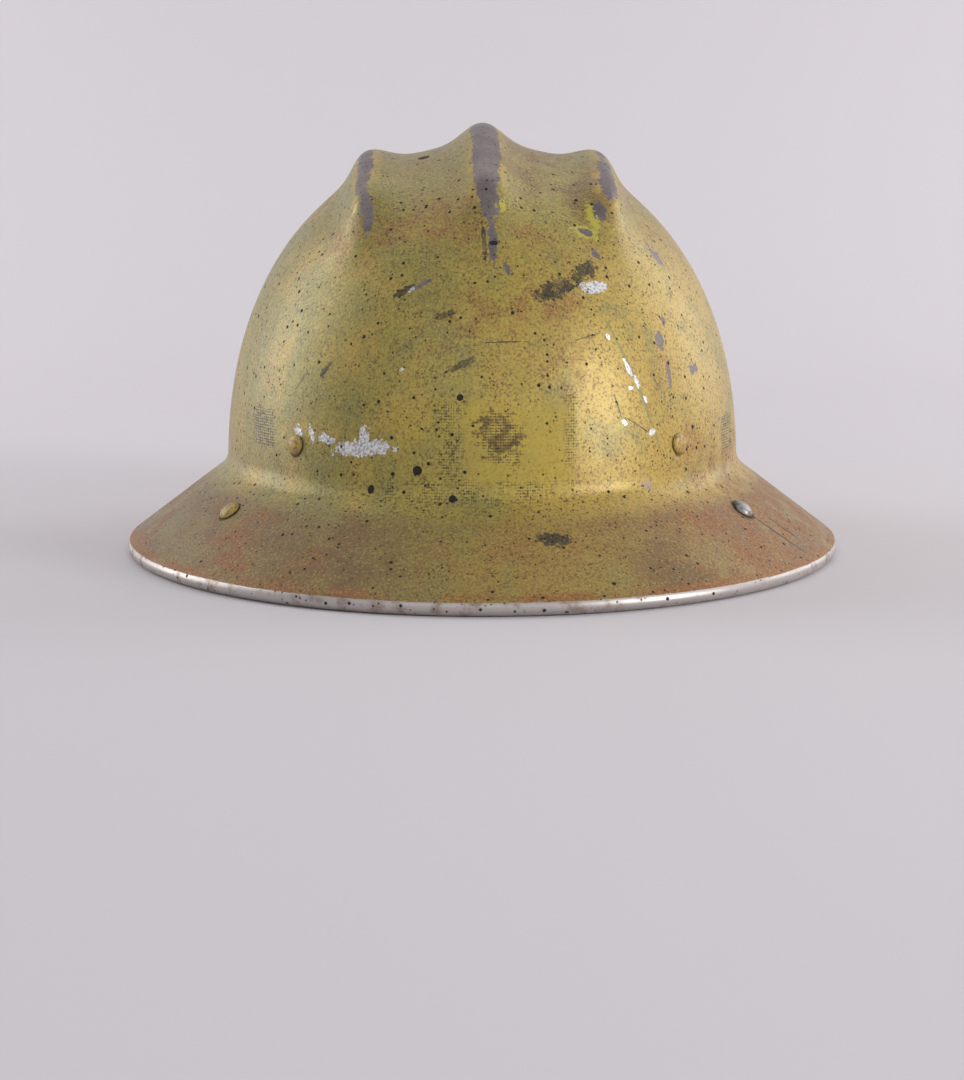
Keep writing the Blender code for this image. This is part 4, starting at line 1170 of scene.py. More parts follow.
def makeRivetPaint():
    # shell paint over the outer heads, rubbed thin in places
    material, tree, shader, coordinates = startMaterial("rivetPaint")
    patchy = noise(tree, coordinates, 420.0, 5.0, 0.62)
    grain = noise(tree, coordinates, 1100.0, 3.0, 0.7)
    faded = ramp(tree, patchy, 0.40, 0.58)
    colour = colourMix(tree, faded, paintColours["goldenOrange"], paintColours["rivetTan"])
    dark = times(tree, ramp(tree, grain, 0.49, 0.60), 0.72)
    colour = colourMix(tree, dark, colour, paintColours["grainBrown"])
    worn = greatest(tree, (ramp(tree, patchy, 0.60, 0.64), attributeNumber(tree, "inner")))
    colour = colourMix(tree, worn, colour, paintColours["dullMetal"])
    roughness = calc(tree, "MULTIPLY_ADD", patchy, 0.2, 0.35)
    metallic = calc(tree, "MULTIPLY_ADD", worn, 0.5, 0.12)
    finishShader(tree, shader, colour, roughness, metallic, patchy, 0.5, 0.0002)
    return material


def makeWebbing(name, clean, dirty):
    # plain weave laid along the piece: across, along and side are kept in its cloth attribute
    material, tree, shader, coordinates = startMaterial(name)
    cloth = addNode(tree, "ShaderNodeAttribute", attribute_name="cloth").outputs["Vector"]
    across, along, side = splitVector(tree, cloth)
    acrossWave = calc(tree, "SINE", times(tree, across, math.pi / webbingSizes["thread"]))
    alongWave = calc(tree, "SINE", times(tree, along, math.pi / webbingSizes["thread"]))
    over = ramp(tree, times(tree, acrossWave, alongWave), -0.12, 0.12)
    warp = calc(tree, "ABSOLUTE", acrossWave)
    weft = calc(tree, "ABSOLUTE", alongWave)
    weave = numberMix(tree, over, warp, weft)
    grime = noise(tree, coordinates, 55.0, 5.0, 0.6)
    fuzz = noise(tree, coordinates, 2600.0, 2.0, 0.7)
    colour = colourMix(tree, ramp(tree, grime, 0.38, 0.66), clean, dirty)
    colour = colourMix(tree, times(tree, minus(tree, 1.0, weave), 0.6), colour, (0.06, 0.045, 0.03, 1.0))
    colour = colourMix(tree, times(tree, fuzz, 0.3), colour, clean)
    selvedge = ramp(tree, calc(tree, "ABSOLUTE", across), *webbingSizes["selvedge"])
    colour = colourMix(tree, times(tree, selvedge, 0.35), colour, dirty)
    shader.inputs["Sheen Weight"].default_value = 0.25
    height = plus(tree, weave, times(tree, fuzz, 0.4))
    finishShader(tree, shader, colour, 0.88, None, height, 0.75, 0.0002)
    return material


def makeLeather(name, clean, dark):
    material, tree, shader, coordinates = startMaterial(name)
    bend = addNode(tree, "ShaderNodeTexNoise", {"Vector": coordinates, "Scale": 220.0}).outputs[1]
    bent = vectorCalc(tree, "ADD", coordinates, vectorCalc(tree, "SCALE", bend, None, None, 0.0006))
    inputs = {"Vector": bent, "Scale": 900.0}
    cells = addNode(tree, "ShaderNodeTexVoronoi", inputs, feature="DISTANCE_TO_EDGE")
    pores = cells.outputs["Distance"]
    creases = noise(tree, coordinates, 130.0, 6.0, 0.7, 1.2)
    stains = noise(tree, coordinates, 32.0, 4.0, 0.6)
    colour = colourMix(tree, ramp(tree, stains, 0.34, 0.64), clean, dark)
    # the grain's grooves darkened toward near black
    poreDarkening = times(tree, ramp(tree, pores, 0.12, 0.0), 0.55)
    colour = colourMix(tree, poreDarkening, colour, (0.035, 0.018, 0.01, 1.0))
    creased = ramp(tree, calc(tree, "ABSOLUTE", minus(tree, creases, 0.5)), 0.035, 0.0)
    colour = colourMix(tree, times(tree, creased, 0.4), colour, dark)
    shader.inputs["Sheen Weight"].default_value = 0.08
    roughness = calc(tree, "MULTIPLY_ADD", stains, 0.3, 0.40)
    height = plus(tree, ramp(tree, pores, 0.0, 0.22), times(tree, creased, -0.8), times(tree, creases, 0.5))
    finishShader(tree, shader, colour, roughness, None, height, 0.6, 0.00018)
    return material


def makeFibre(name, clean, worn):
    # pressed fibre board: faint layers, scuffs and paler rubbed patches
    material, tree, shader, coordinates = startMaterial(name)
    layers = noise(tree, vectorCalc(tree, "MULTIPLY", coordinates, (0.15, 0.15, 1.0)), 1400.0, 3.0, 0.6)
    mottled = noise(tree, coordinates, 90.0, 6.0, 0.65)
    flecks = noise(tree, coordinates, 1200.0, 3.0, 0.7)
    colour = colourMix(tree, ramp(tree, mottled, 0.40, 0.68), clean, worn)
    colour = colourMix(tree, times(tree, ramp(tree, layers, 0.5, 0.7), 0.4), colour, worn)
    fleckDirt = times(tree, ramp(tree, flecks, 0.56, 0.7), 0.5)
    colour = colourMix(tree, fleckDirt, colour, (0.03, 0.02, 0.015, 1.0))
    roughness = calc(tree, "MULTIPLY_ADD", mottled, 0.35, 0.32)
    height = plus(tree, times(tree, layers, 0.5), times(tree, mottled, 0.6), times(tree, flecks, 0.2))
    finishShader(tree, shader, colour, roughness, None, height, 0.4, 0.00015)
    return material


def makeThread(name, colourOne, colourTwo):
    material, tree, shader, coordinates = startMaterial(name)
    patchy = noise(tree, coordinates, 500.0, 3.0, 0.6)
    twist = noise(tree, coordinates, 5200.0, 1.0, 0.5)
    colour = colourMix(tree, ramp(tree, patchy, 0.35, 0.65), colourOne, colourTwo)
    finishShader(tree, shader, colour, 0.8, None, twist, 0.6, 0.00008)
    return material


# Repeated pieces: one tree sets a shape on marked points, turned by their along and up directions

def repeatTree():
    tree, given = startTree("setOnPoints", {
        "Shape": "object", "Size": 1.0, "Size Change": 0.0, "Turn Change": 0.0, "Seed": 0,
        "Finish": "material"})
    shape = addNode(tree, "GeometryNodeObjectInfo", {"Object": given["Shape"]}).outputs["Geometry"]
    along = attributeField(tree, "along", "FLOAT_VECTOR")
    up = attributeField(tree, "up", "FLOAT_VECTOR")
    lengthwise = addNode(tree, "FunctionNodeAlignRotationToVector", {"Vector": along}, axis="X").outputs[0]
    inputs = {"Rotation": lengthwise, "Vector": up}
    upright = addNode(tree, "FunctionNodeAlignRotationToVector", inputs, axis="Z", pivot_axis="X")
    low = minus(tree, given["Size"], given["Size Change"])
    high = plus(tree, given["Size"], given["Size Change"])
    random = addNode(tree, "FunctionNodeRandomValue", {2: low, 3: high, 8: given["Seed"]}, data_type="FLOAT")
    random = random.outputs[1]
    negative = times(tree, given["Turn Change"], -1.0)
    inputs = {2: negative, 3: given["Turn Change"], 8: given["Seed"]}
    swing = addNode(tree, "FunctionNodeRandomValue", inputs, data_type="FLOAT").outputs[1]
    spin = addNode(tree, "FunctionNodeAxisAngleToRotation", {"Axis": (0.0, 0.0, 1.0), "Angle": swing})
    inputs = {0: upright.outputs[0], 1: spin.outputs[0]}
    turned = addNode(tree, "FunctionNodeRotateRotation", inputs, rotation_space="LOCAL").outputs[0]
    placed = addNode(tree, "GeometryNodeInstanceOnPoints", {
        "Points": given["Geometry"], "Instance": shape, "Rotation": turned,
        "Scale": joinVector(tree, random, random, random)})
    endTree(tree, placed.outputs[0], given["Finish"])
    return tree


setOnPoints = repeatTree()


def repeatShape(name, shape, places, material, change=0.0, swing=0.0, seed=1):
    # places holds a point, an along direction and an up direction for each copy
    mesh = bpy.data.meshes.new(name + "Points")
    mesh.from_pydata([tuple(place[0]) for place in places], [], [])
    setVectors(mesh, "along", [place[1] for place in places])
    setVectors(mesh, "up", [place[2] for place in places])
    values = {"Shape": shape, "Size Change": change, "Turn Change": swing, "Seed": seed, "Finish": material}
    item = runTree(name, mesh, setOnPoints, values)
    bpy.data.objects.remove(shape)
    item.data.shade_smooth()
    item.data.set_sharp_from_angle(angle=math.radians(48))
    return item


def turnedShape(name, profile, segments):
    points = []
    for radius, height in profile[1:-1]:
        for place in range(segments):
            angle = math.tau * place / segments
            points.append((radius * math.cos(angle), radius * math.sin(angle), height))
    rings = len(profile) - 2
    faces = ringFaces(rings, segments)
    top, bottom = len(points), len(points) + 1
    points += [(0, 0, profile[0][1]), (0, 0, profile[-1][1])]
    for place in range(segments):
        after = (place + 1) % segments
        faces.append((top, after, place))
        faces.append((bottom, (rings - 1) * segments + place, (rings - 1) * segments + after))
    return meshObject(name, points, faces)


def rivetShape(name, sizes, segments):
    gap = fittingPlaces["gap"]
    profile = [(0, gap + sizes["headRise"])]
    for step in range(1, 9):
        angle = math.pi / 2 * step / 9
        profile.append((sizes["head"] * math.sin(angle), gap + sizes["headRise"] * math.cos(angle)))
    tail = -(sizes["grip"] + gap)
    profile += [(sizes["head"], gap + 0.00004), (sizes["head"] - 0.0001, gap)]
    profile += [(sizes["shank"], gap), (sizes["shank"], tail)]
    profile += [(sizes["tail"] - 0.0001, tail), (sizes["tail"], tail - 0.00008)]
    for share in (0.35, 0.7):
        profile.append((sizes["tail"] * math.sqrt(1 - share ** 2), tail - sizes["tailRise"] * share))
    profile.append((0, tail - sizes["tailRise"]))
    item = turnedShape(name, profile, segments)
    setAttribute(item.data, "inner", [float(vertex.co.z < tail / 2) for vertex in item.data.vertices])
    return item


def stitchShape():
    # a short thread that dips at both ends, six-sided
    length, radius = threadSizes["length"], threadSizes["radius"]
    points = []
    stations = (
        (-0.5, 0.35, -0.9), (-0.36, 0.85, 0.1), (0.0, 1.0, 0.45), (0.36, 0.85, 0.1), (0.5, 0.35, -0.9),
    )
    for share, thick, rise in stations:
        for place in range(6):
            angle = math.tau * place / 6
            height = radius * (rise + thick * math.sin(angle))
            points.append((share * length, radius * thick * math.cos(angle), height))
    faces = ringFaces(len(stations), 6) + [tuple(range(6)), tuple(range(24, 30))]
    return meshObject("stitch", points, faces)


def alongLine(points, ups):
    # stitch places every pitch along a line
    pitch = threadSizes["pitch"]
    places = []
    travelled = pitch / 2
    for first, second, up in zip(points, points[1:], ups):
        span = (second - first).length
        while travelled < span:
            places.append((first.lerp(second, travelled / span), (second - first).normalized(), up))
            travelled += pitch
        travelled -= span
    return places


def makeStitches(name, places, material, body):
    item = repeatShape(name, stitchShape(), places, material, 0.08, 0.10, threadSizes["seed"])
    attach(item, body)


# Rivets

rivetSizes = {
    "crown": {
        "head": 0.0037, "headRise": 0.0017, "grip": 0.0031,
        "shank": 0.002, "tail": 0.0032, "tailRise": 0.0014,
    },
    "brim": {
        "head": 0.0041, "headRise": 0.0021, "grip": 0.0030,
        "shank": 0.002, "tail": 0.0032, "tailRise": 0.0011,
    },
    "frontTab": {
        "head": 0.0027, "headRise": 0.0011, "grip": 0.0049,
        "shank": 0.0015, "tail": 0.0029, "tailRise": 0.0006,
    },
    "rearTab": {
        "head": 0.0027, "headRise": 0.0011, "grip": 0.0047,
        "shank": 0.0015, "tail": 0.0029, "tailRise": 0.0006,
    },
    "stud": {
        "head": 0.0035, "headRise": 0.0012, "grip": 0.0033,
        "shank": 0.0015, "tail": 0.0032, "tailRise": 0.0008,
    },
}


def onFrame(place):
    return (place.translation.copy(), place.col[0].to_3d(), place.col[2].to_3d())


def makeRivets():
    root = "shell_assembly"
    brass = makeMetal("oldBrass")
    painted = makeRivetPaint()
    heads = rivetShape("crownRivet", rivetSizes["crown"], 32)
    places = [onFrame(rivetFrame(end, side)) for end, side in corners.values()]
    item = repeatShape("crownRivets", heads, places, painted)
    addFinish(item, painted, root, ["crown_rivet_" + label for label in corners])
    for label, side, paint in (("left", 1, makeMetal("bareRivet")), ("right", -1, painted)):
        heads = rivetShape("brimRivet", rivetSizes["brim"], 36)
        item = repeatShape("brimRivet" + label.title(), heads, [onFrame(brimFrame(side))], paint)
        addFinish(item, paint, root, ["brim_rivet_" + label])
    for kind, end, body in (("frontTab", -1, root), ("rearTab", 1, "nape_assembly")):
        heads = rivetShape(kind + "Rivet", rivetSizes[kind], 24)
        places = [onFrame(tabRivetFrame(end, side)) for side in (1, -1)]
        item = repeatShape(kind + "Rivets", heads, places, brass)
        labels = [label for label in corners if corners[label][0] == end]
        addFinish(item, brass, body, ["tab_rivet_" + label for label in labels])
    places = []
    for side in (1, -1):
        middle = Vector((side * fittingPlaces["napeHalfWidth"], *fittingPlaces["studPlace"]))
        places.append(onFrame(uprightFrame(middle, Vector((side, 0, 0)))))
    item = repeatShape("sizeStuds", rivetShape("sizeStud", rivetSizes["stud"], 28), places, brass)
    addFinish(item, brass, root, ["size_stud_left", "size_stud_right"])


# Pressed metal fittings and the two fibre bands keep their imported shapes, with rounded edges

fittingBevels = {
    "strapHangers": 0.00022,
    "chinLoopBrackets": 0.00022,
    "sizeKeepers": 0.0002,
    "fibreHeadband": 0.0003,
    "fibreNapeBand": 0.0003,
}


def makeFittings():
    root = "shell_assembly"
    steel = makeMetal("platedSteel")
    hangers = ["strap_hanger_" + label for label in corners]
    brackets = ["chin_loop_bracket_left", "chin_loop_bracket_right"]
    keepers = ["size_keeper_left", "size_keeper_right"]
    pressed = (("strapHangers", hangers), ("chinLoopBrackets", brackets), ("sizeKeepers", keepers))
    for name, nodes in pressed:
        addFinish(refinedCopy(name, nodes, fittingBevels[name]), steel, root, nodes)
    fibre = makeFibre("headbandFibre", (0.075, 0.042, 0.028, 1.0), (0.15, 0.088, 0.055, 1.0))
    item = refinedCopy("fibreHeadband", ["headband"], fittingBevels["fibreHeadband"])
    addFinish(item, fibre, root, ["headband"])
    nape = makeFibre("napeFibre", (0.095, 0.055, 0.036, 1.0), (0.18, 0.11, 0.07, 1.0))
    item = refinedCopy("fibreNapeBand", ["nape_band"], fittingBevels["fibreNapeBand"])
    addFinish(item, nape, "nape_assembly", ["nape_band"])


# Webbing

webbingSizes = {
    "halfWidth": 0.0095,
    "crownThickness": 0.0014,
    "tabThickness": 0.0012,
    "strapTop": 0.1195,
    "upperStrapLift": 0.0018,
    "endStitchBox": (0.0155, 0.0255, 0.0088),
    "boxInset": 0.0022,
    "tabRowInset": 0.0018,
    "tabRowHeights": (-0.0275, -0.0342),
    "tabRowDepth": 0.0008,
    "thread": 0.00062,
    "selvedge": (0.0072, 0.0078),
    "steps": 8,
}


def stripSection():
    spots = [-0.97, -0.74, -0.5, -0.25, 0.0, 0.25, 0.5, 0.74, 0.97]
    upper = [(spot, 1 - 0.12 * spot ** 2) for spot in spots]
    lower = [(spot, -height) for spot, height in reversed(upper)]
    return upper + [(1.0, 0.4), (1.0, -0.4)] + lower + [(-1.0, -0.4), (-1.0, 0.4)]


def sweepStrip(name, rows, thickness):
    steps, half = webbingSizes["steps"], webbingSizes["halfWidth"]
    centres = smoothLine([centre for centre, across in rows], steps)
    acrosses = shareOut([across for centre, across in rows], steps)
    section = stripSection()
    points, cloth = [], []
    travelled = 0.0
    last = len(centres) - 1
    for place, centre in enumerate(centres):
        along = (centres[min(last, place + 1)] - centres[max(0, place - 1)]).normalized()
        across = (acrosses[place] - acrosses[place].dot(along) * along).normalized()
        outward = along.cross(across)
        if place:
            travelled += (centre - centres[place - 1]).length
        for wide, thick in section:
            points.append(centre + across * wide * half + outward * thick * thickness / 2)
            cloth.append((wide * half, travelled, thick))
    faces = ringFaces(len(centres), len(section))
    faces += [tuple(range(len(section))), tuple(range(last * len(section), (last + 1) * len(section)))]
    item = meshObject(name, points, faces)
    setVectors(item.data, "cloth", cloth)
    return item


# routes in mm: through a hanger as (up, in) from its rivet, then to the crossing as
# (radius, height, share of the rivet's turn, share of the upper strap's lift)
strapThrough = (
    (27, 6.5), (21, 6.3), (18.1, 3.8), (13.1, 3.6), (12.3, 3.9), (12, 4.6),
    (12, 7.0), (12.3, 7.7), (13.1, 8.0), (21, 8.0), (28, 8.4),
)
strapOver = (
    (95.0, 84.5, 0.75, 0), (87.0, 94.5, 0.4, 0), (75.5, 103.5, 0.1, 0), (60.0, 110.5, 0, 0),
    (40.0, 116.0, 0, 0.15), (28.0, 118.0, 0, 0.7), (17.0, 119.2, 0, 1),
)


def strapEnd(place):
    across = place.col[0].to_3d()
    return [(place @ Vector((0, high * mm, -deep * mm)), across) for high, deep in strapThrough]


def strapRise(place, lift):
    outward = Vector((place.translation.x, place.translation.y, 0)).normalized()
    level = Vector((0, 0, 1)).cross(outward)
    rows = []
    for radius, height, share, lifted in strapOver:
        across = level.lerp(place.col[0].to_3d(), share).normalized()
        rows.append((outward * radius * mm + Vector((0, 0, height * mm + lift * lifted)), across))
    return rows


def makeCrownStraps(webbing, thread):
    stitches = []
    box = webbingSizes["endStitchBox"]
    for label, side, lift in (("A", 1, 0.0), ("B", -1, webbingSizes["upperStrapLift"])):
        ends = [rivetFrame(-1, side), rivetFrame(1, -side)]
        up, back = [strapEnd(place) + strapRise(place, lift) for place in ends]
        down = [(centre, -across) for centre, across in back]
        top = (Vector((0, 0, webbingSizes["strapTop"] + lift)), up[-1][1])
        item = sweepStrip("crownStrap" + label, up + [top] + down[::-1], webbingSizes["crownThickness"])
        addFinish(item, webbing, "shell_assembly", ["crown_strap_" + label.lower()])
        for place in ends:
            stitches += boxStitch(place, *box)
    makeStitches("crownStrapStitches", stitches, thread, "shell_assembly")


def boxStitch(place, low, high, deep):
    # a rectangle with crossed diagonals on the strap's inner face
    half = webbingSizes["halfWidth"] - webbingSizes["boxInset"]
    outline = [(-half, low), (half, low), (half, high), (-half, high), (-half, low), (half, high)]
    inward = -place.col[2].to_3d()
    places = []
    for spots in (outline, [(half, low), (-half, high)]):
        line = [place @ Vector((x, height, -deep)) for x, height in spots]
        places += alongLine(line, [inward] * (len(line) - 1))
    return places


# the tab's route in mm: up beside the band, through the hanger as (up, in) from its rivet, and down
tabUp = (-35.2, -31.5, -25.5)
tabThrough = (
    (-16.0, 8.0), (-13.0, 7.8), (-12.3, 7.5), (-12.0, 6.9), (-12.0, 4.8),
    (-12.3, 4.2), (-13.0, 3.9), (-17.4, 4.2), (-18.4, 5.0),
)
tabDown = (-27.5, -31.5, -35.2)
tabOffBand = 0.9
tabPlies = 1.5


def tabRows(end, side):
    leaning, upright = rivetFrame(end, side), wallFrame(end, side)
    inner = bandDepth(upright, end) / mm - tabOffBand
    outer = inner - tabPlies
    centres = [upright @ Vector((0, high * mm, -inner * mm)) for high in tabUp]
    centres += [leaning @ Vector((0, high * mm, -deep * mm)) for high, deep in tabThrough]
    centres += [upright @ Vector((0, high * mm, -outer * mm)) for high in tabDown]
    return [(centre, upright.col[0].to_3d()) for centre in centres], upright, outer * mm


def makeTabs(webbing, thread):
    stitches = {-1: [], 1: []}
    for label, (end, side) in corners.items():
        rows, upright, outer = tabRows(end, side)
        item = sweepStrip("bandTab_" + label, rows, webbingSizes["tabThickness"])
        body = "shell_assembly" if end < 0 else None
        addFinish(item, webbing, body, ["headband_tab_" + label])
        if end > 0:
            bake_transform(item)
        half = webbingSizes["halfWidth"] - webbingSizes["tabRowInset"]
        for high in webbingSizes["tabRowHeights"]:
            line = [upright @ Vector((x, high, webbingSizes["tabRowDepth"] - outer)) for x in (-half, half)]
            stitches[end] += alongLine(line, [upright.col[2].to_3d()])
    makeStitches("frontTabStitches", stitches[-1], thread, "shell_assembly")
    makeStitches("rearTabStitches", stitches[1], thread, "nape_assembly")


# Leather

leatherSizes = {
    "padRadius": 0.0335,
    "padTop": 0.1185,
    "bandSteps": 110,
    "liningThickness": 0.0012,
    "napeThickness": 0.0024,
    "napeSpan": 37,
    "holeRadius": 0.0008,
    "holeSeed": 9,
    "holeColumns": 34,
    "holeRows": (0.0195, 0.0255, 0.0315, 0.0375),
}


def bandPoint(end, halfWidth, inset, angle):
    p = fittingPlaces
    forward = p["bandEndCentre"] + (p["bandEndLength"] - inset) * math.cos(angle)
    return Vector(((halfWidth - inset) * math.sin(angle), end * forward, 0))


# the pad's outline from its middle to its rim and back: share of the radius, mm below its top
padUpper = (
    (0.17, 0.05), (0.34, 0.25), (0.51, 0.55), (0.66, 1.05), (0.78, 1.75),
    (0.84, 2.30), (0.90, 2.55), (0.96, 3.15), (0.995, 3.75), (1.0, 4.25),
)
padLower = (
    (0.99, 4.75), (0.95, 5.10), (0.90, 5.00), (0.84, 4.60), (0.78, 4.75),
    (0.66, 4.15), (0.51, 3.45), (0.34, 2.95), (0.17, 2.65),
)
padHollow = 2.55
padHoleRings = ((0.0055, 6), (0.0115, 12), (0.0175, 18))


def makeCrownPad(leather, thread):
    # a dished disc, quilted by a stitched ring near its rim
    radius, top = leatherSizes["padRadius"], leatherSizes["padTop"]
    profile = [(0.0, top)]
    profile += [(radius * wide, top - low * mm) for wide, low in padUpper + padLower]
    profile.append((0.0, top - padHollow * mm))
    item = turnedShape("crownPad", profile, 96)
    for vertex in item.data.vertices:
        angle = math.atan2(vertex.co.y, vertex.co.x)
        share = math.hypot(vertex.co.x, vertex.co.y) / radius
        puckers = 0.00010 * share ** 4 * math.sin(17 * angle)
        vertex.co.z += puckers + 0.00014 * share * math.sin(5 * angle + 1.0)
    addFinish(item, leather, "shell_assembly", ["crown_pad"])
    ring = []
    seamRadius, seamSteps = radius * 0.84, 90
    for step in range(seamSteps + 1):
        angle = step * math.tau / seamSteps
        ring.append(Vector((seamRadius * math.cos(angle), seamRadius * math.sin(angle), top - 0.0047)))
    places = alongLine(ring, [Vector((0, 0, -1))] * seamSteps)
    makeStitches("crownPadStitches", places, thread, "shell_assembly")
    holes = []
    for ringRadius, count in padHoleRings:
        for place in range(count):
            angle = math.tau * place / count
            low = top - 0.0026 - 0.0009 * (ringRadius / padHoleRings[-1][0]) ** 2
            spot = Vector((ringRadius * math.cos(angle), ringRadius * math.sin(angle), low))
            holes.append((spot, Vector((1, 0, 0)), Vector((0, 0, -1))))
    makeHoles("crownPadHoles", holes, "shell_assembly")


def holeShape():
    # a punched hole: a dark dish inside a thin rolled lip, its dark colour painted shade standing for the
    # hole's depth
    radius = leatherSizes["holeRadius"]
    outline = (
        (0, -0.04), (0.72, -0.02), (0.86, 0.09), (1, 0.07), (1.16, -0.03), (0.6, -0.10), (0, -0.12),
    )
    profile = [(radius * wide, high * mm) for wide, high in outline]
    return turnedShape("hole", profile, 12)


def makeHoles(name, places, body):
    material = bpy.data.materials.get("punchedHole")
    if material is None:
        material, tree, shader, coordinates = startMaterial("punchedHole")
        # near black inside the hole: painted shade for its depth, varied by dust
        dust = noise(tree, coordinates, 2400.0, 3.0, 0.6)
        colour = colourMix(tree, dust, (0.018, 0.010, 0.007, 1.0), (0.05, 0.028, 0.018, 1.0))
        feed(tree, shader.inputs["Base Color"], colour)
        feed(tree, shader.inputs["Roughness"], calc(tree, "MULTIPLY_ADD", dust, 0.2, 0.75))
    item = repeatShape(name, holeShape(), places, material, 0.06, 0.0, leatherSizes["holeSeed"])
    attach(item, body)


def makeSweatband(leather, thread):
    p = fittingPlaces
    half = leatherSizes["liningThickness"] / 2
    inner = p["bandThickness"] + 0.0015 + half
    fold = -p["gap"] - half
    section = (
        (inner, 0.0435), (inner, 0.026), (inner, 0.0105), (inner - 0.0009, 0.0085),
        (p["bandThickness"] / 2, 0.0075), (fold - 0.0001, 0.0084), (fold - 0.0003, 0.0098),
        (fold - 0.0003, 0.0125),
    )
    section = smoothLine([Vector((inset, height, 0)) for inset, height in section], 5)
    steps = leatherSizes["bandSteps"]
    points = []
    for step in range(steps + 1):
        angle = math.radians(-72 + 144 * step / steps)
        for spot in section:
            waves = 0.00012 * math.sin(step * 1.1) * math.sin(step * 0.37)
            ripple = waves * max(0.0, 1 - abs(spot.y - 0.030) / 0.014)
            point = bandPoint(-1, p["bandHalfWidth"], spot.x + ripple, angle)
            points.append((point.x, point.y, spot.y))
    count = len(section)
    faces = []
    for row in range(steps):
        for place in range(count - 1):
            first = row * count + place
            faces.append((first, first + count, first + count + 1, first + 1))
    item = meshObject("sweatbandLining", points, faces)
    wall = item.modifiers.new("leather", "SOLIDIFY")
    wall.thickness = leatherSizes["liningThickness"]
    wall.offset = 0.0
    finishModifiers(item)
    addFinish(item, leather, "shell_assembly", ["sweatband"])
    places = []
    seams = ((inner + half, 0.0140, -1), (inner + half, 0.0412, -1), (fold - 0.0003 - half, 0.0112, 1))
    for inset, height, outward in seams:
        line, ups = [], []
        for step in range(161):
            angle = math.radians(-70.5 + 141 * step / 160)
            point = bandPoint(-1, p["bandHalfWidth"], inset, angle)
            beyond = bandPoint(-1, p["bandHalfWidth"], inset - 0.001, angle)
            line.append(Vector((point.x, point.y, height)))
            ups.append(outward * (beyond - point).normalized())
        places += alongLine(line, ups)
    makeStitches("sweatbandStitches", places, thread, "shell_assembly")
    holes = []
    for row, height in enumerate(leatherSizes["holeRows"]):
        for column in range(leatherSizes["holeColumns"]):
            angle = math.radians(-56 + 112 * (column + 0.5 * (row % 2)) / leatherSizes["holeColumns"])
            point = bandPoint(-1, p["bandHalfWidth"], inner + half, angle)
            deeper = bandPoint(-1, p["bandHalfWidth"], inner + half + 0.001, angle)
            point.z = deeper.z = height
            holes.append((point, Vector((0, 0, 1)), (deeper - point).normalized()))
    makeHoles("sweatbandHoles", holes, "shell_assembly")


def makeNapePad(leather, thread):
    # a thin stuffed pad that follows the band, pinched where it is sewn
    p = fittingPlaces
    half = leatherSizes["napeThickness"] / 2
    middle = p["napeThickness"] + 2 * p["gap"] + half
    span = math.radians(leatherSizes["napeSpan"])
    columns, rows = 72, 22
    points = []
    for face in (1, -1):
        for column in range(columns + 1):
            for row in range(rows + 1):
                u, v = 2 * column / columns - 1, 2 * row / rows - 1
                rim = max(0.0, (1 - abs(u) ** 16) * (1 - abs(v) ** 8)) ** 0.5
                longSeam = 0.5 * math.exp(-((abs(v) - 0.76) / 0.07) ** 2)
                seam = 1 - longSeam - 0.3 * math.exp(-((abs(u) - 0.93) / 0.02) ** 2)
                swell = half * rim * max(0.25, seam) * (1.0 if face > 0 else 0.98)
                centre = bandPoint(1, p["napeHalfWidth"], middle + face * swell, span * u)
                trim = 1 - 0.14 * max(0.0, (abs(u) - 0.86) / 0.14) ** 2
                points.append((centre.x, centre.y, 0.027 + 0.0125 * v * trim))
    count = (columns + 1) * (rows + 1)
    faces = []
    for offset in (0, count):
        for column in range(columns):
            for row in range(rows):
                first = offset + column * (rows + 1) + row
                faces.append((first, first + rows + 1, first + rows + 2, first + 1))
    item = meshObject("napePad", points, faces)
    shape = bmesh.new()
    shape.from_mesh(item.data)
    bmesh.ops.remove_doubles(shape, verts=shape.verts, dist=0.000004)
    bmesh.ops.recalc_face_normals(shape, faces=shape.faces)
    shape.to_mesh(item.data)
    shape.free()
    item.data.shade_smooth()
    addFinish(item, leather, "nape_assembly", ["nape_pad"])
    places = []
    for v in (-0.76, 0.76):
        line, ups = [], []
        for step in range(101):
            angle = span * 0.92 * (2 * step / 100 - 1)
            point = bandPoint(1, p["napeHalfWidth"], middle + half * 0.55, angle)
            deeper = bandPoint(1, p["napeHalfWidth"], middle + half, angle)
            line.append(Vector((point.x, point.y, 0.027 + 0.0125 * v)))
            ups.append((deeper - point).normalized())
        places += alongLine(line, ups)
    makeStitches("napePadStitches", places, thread, "nape_assembly")


# Wire chin loops

chinLoopSizes = {
    "bracketDepth": 0.0024,
    "knuckleInboard": 0.009,
    "knuckleRadius": 0.002,
    "wireRadius": 0.0011,
    "halfWidth": 0.0086,
    "drop": 0.0112,
    "corner": 0.0026,
    "sides": 14,
}


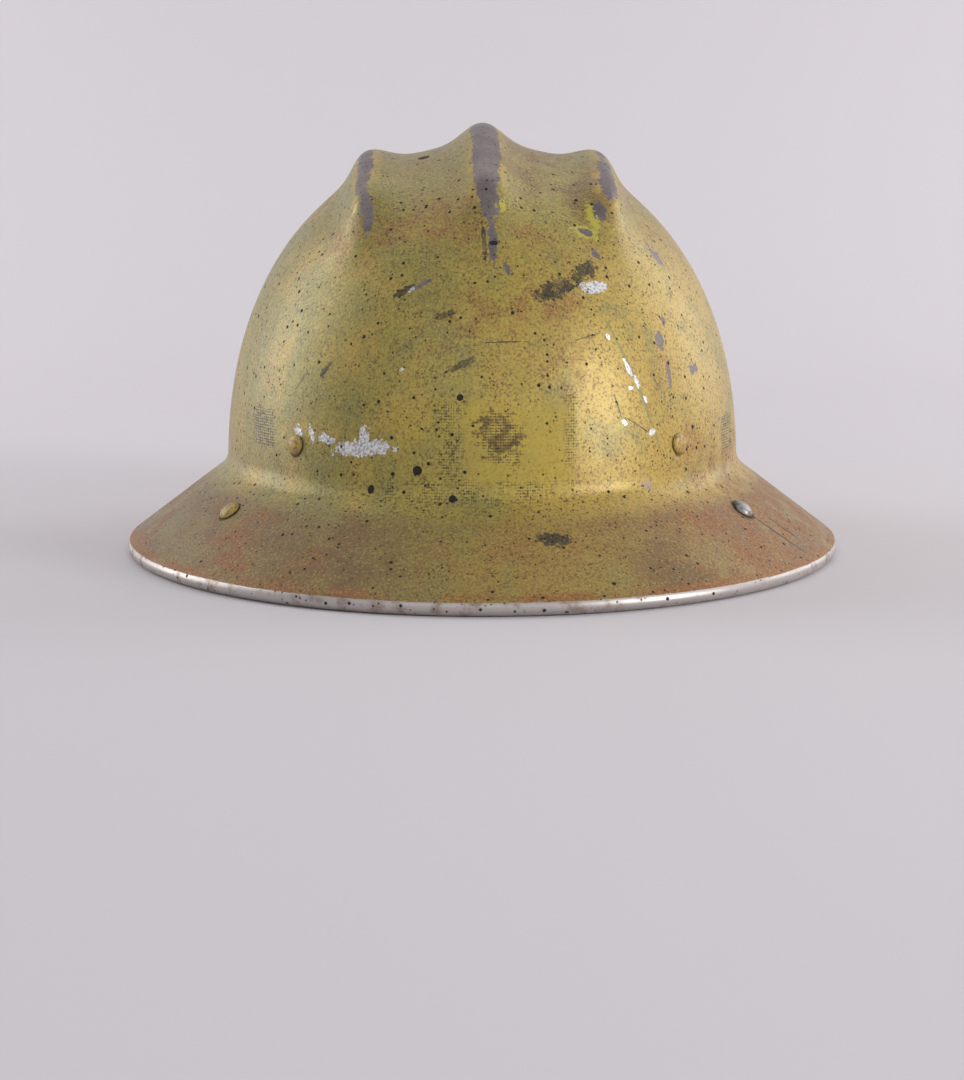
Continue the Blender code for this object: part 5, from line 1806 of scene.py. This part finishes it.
def chinLoopFrame(side):
    place = brimFrame(side)
    c = chinLoopSizes
    centre = place @ Vector((0, c["knuckleInboard"], -(c["bracketDepth"] + c["knuckleRadius"])))
    across, up = place.col[0].to_3d(), Vector((0, 0, 1))
    return frameOf(centre, across, up.cross(across), up)


def makeChinLoops():
    c = chinLoopSizes
    wire = makeMetal("wireSteel")
    corner = c["corner"]
    path = []
    side, low = c["halfWidth"] - corner, -c["drop"] + corner
    middles = ((side, -corner, 0), (-side, -corner, 90), (-side, low, 180), (side, low, 270))
    for x, z, start in middles:
        for step in range(9):
            angle = math.radians(start + 90 * step / 8)
            path.append((x + corner * math.cos(angle), z + corner * math.sin(angle)))
    for label, side in (("left", 1), ("right", -1)):
        place = chinLoopFrame(side)
        points = []
        for index, (x, z) in enumerate(path):
            before, after = path[index - 1], path[(index + 1) % len(path)]
            outward = Vector((after[1] - before[1], 0, before[0] - after[0])).normalized()
            for spoke in range(c["sides"]):
                angle = math.tau * spoke / c["sides"]
                offset = outward * math.cos(angle) + Vector((0, math.sin(angle), 0))
                points.append(place @ (Vector((x, 0, z)) + offset * c["wireRadius"]))
        item = meshObject("chinLoop_" + label, points, ringFaces(len(path), c["sides"], True))
        addFinish(item, wire, "chin_loop_" + label, ["chin_loop_" + label])


print("rivets and fittings")
makeRivets()
makeFittings()
makeChinLoops()
print("webbing")
cottonThread = makeThread("waxedThread", (0.42, 0.36, 0.26, 1.0), (0.24, 0.18, 0.11, 1.0))
makeCrownStraps(makeWebbing("crownWebbing", (0.46, 0.40, 0.29, 1.0), (0.25, 0.19, 0.12, 1.0)), cottonThread)
makeTabs(makeWebbing("tabWebbing", (0.40, 0.34, 0.24, 1.0), (0.20, 0.15, 0.09, 1.0)), cottonThread)
print("leather")
padLeather = makeLeather("padLeather", (0.21, 0.105, 0.05, 1.0), (0.085, 0.042, 0.024, 1.0))
makeCrownPad(padLeather, cottonThread)
makeSweatband(makeLeather("sweatLeather", (0.26, 0.125, 0.055, 1.0), (0.10, 0.048, 0.026, 1.0)), cottonThread)
makeNapePad(padLeather, cottonThread)

print("finish")
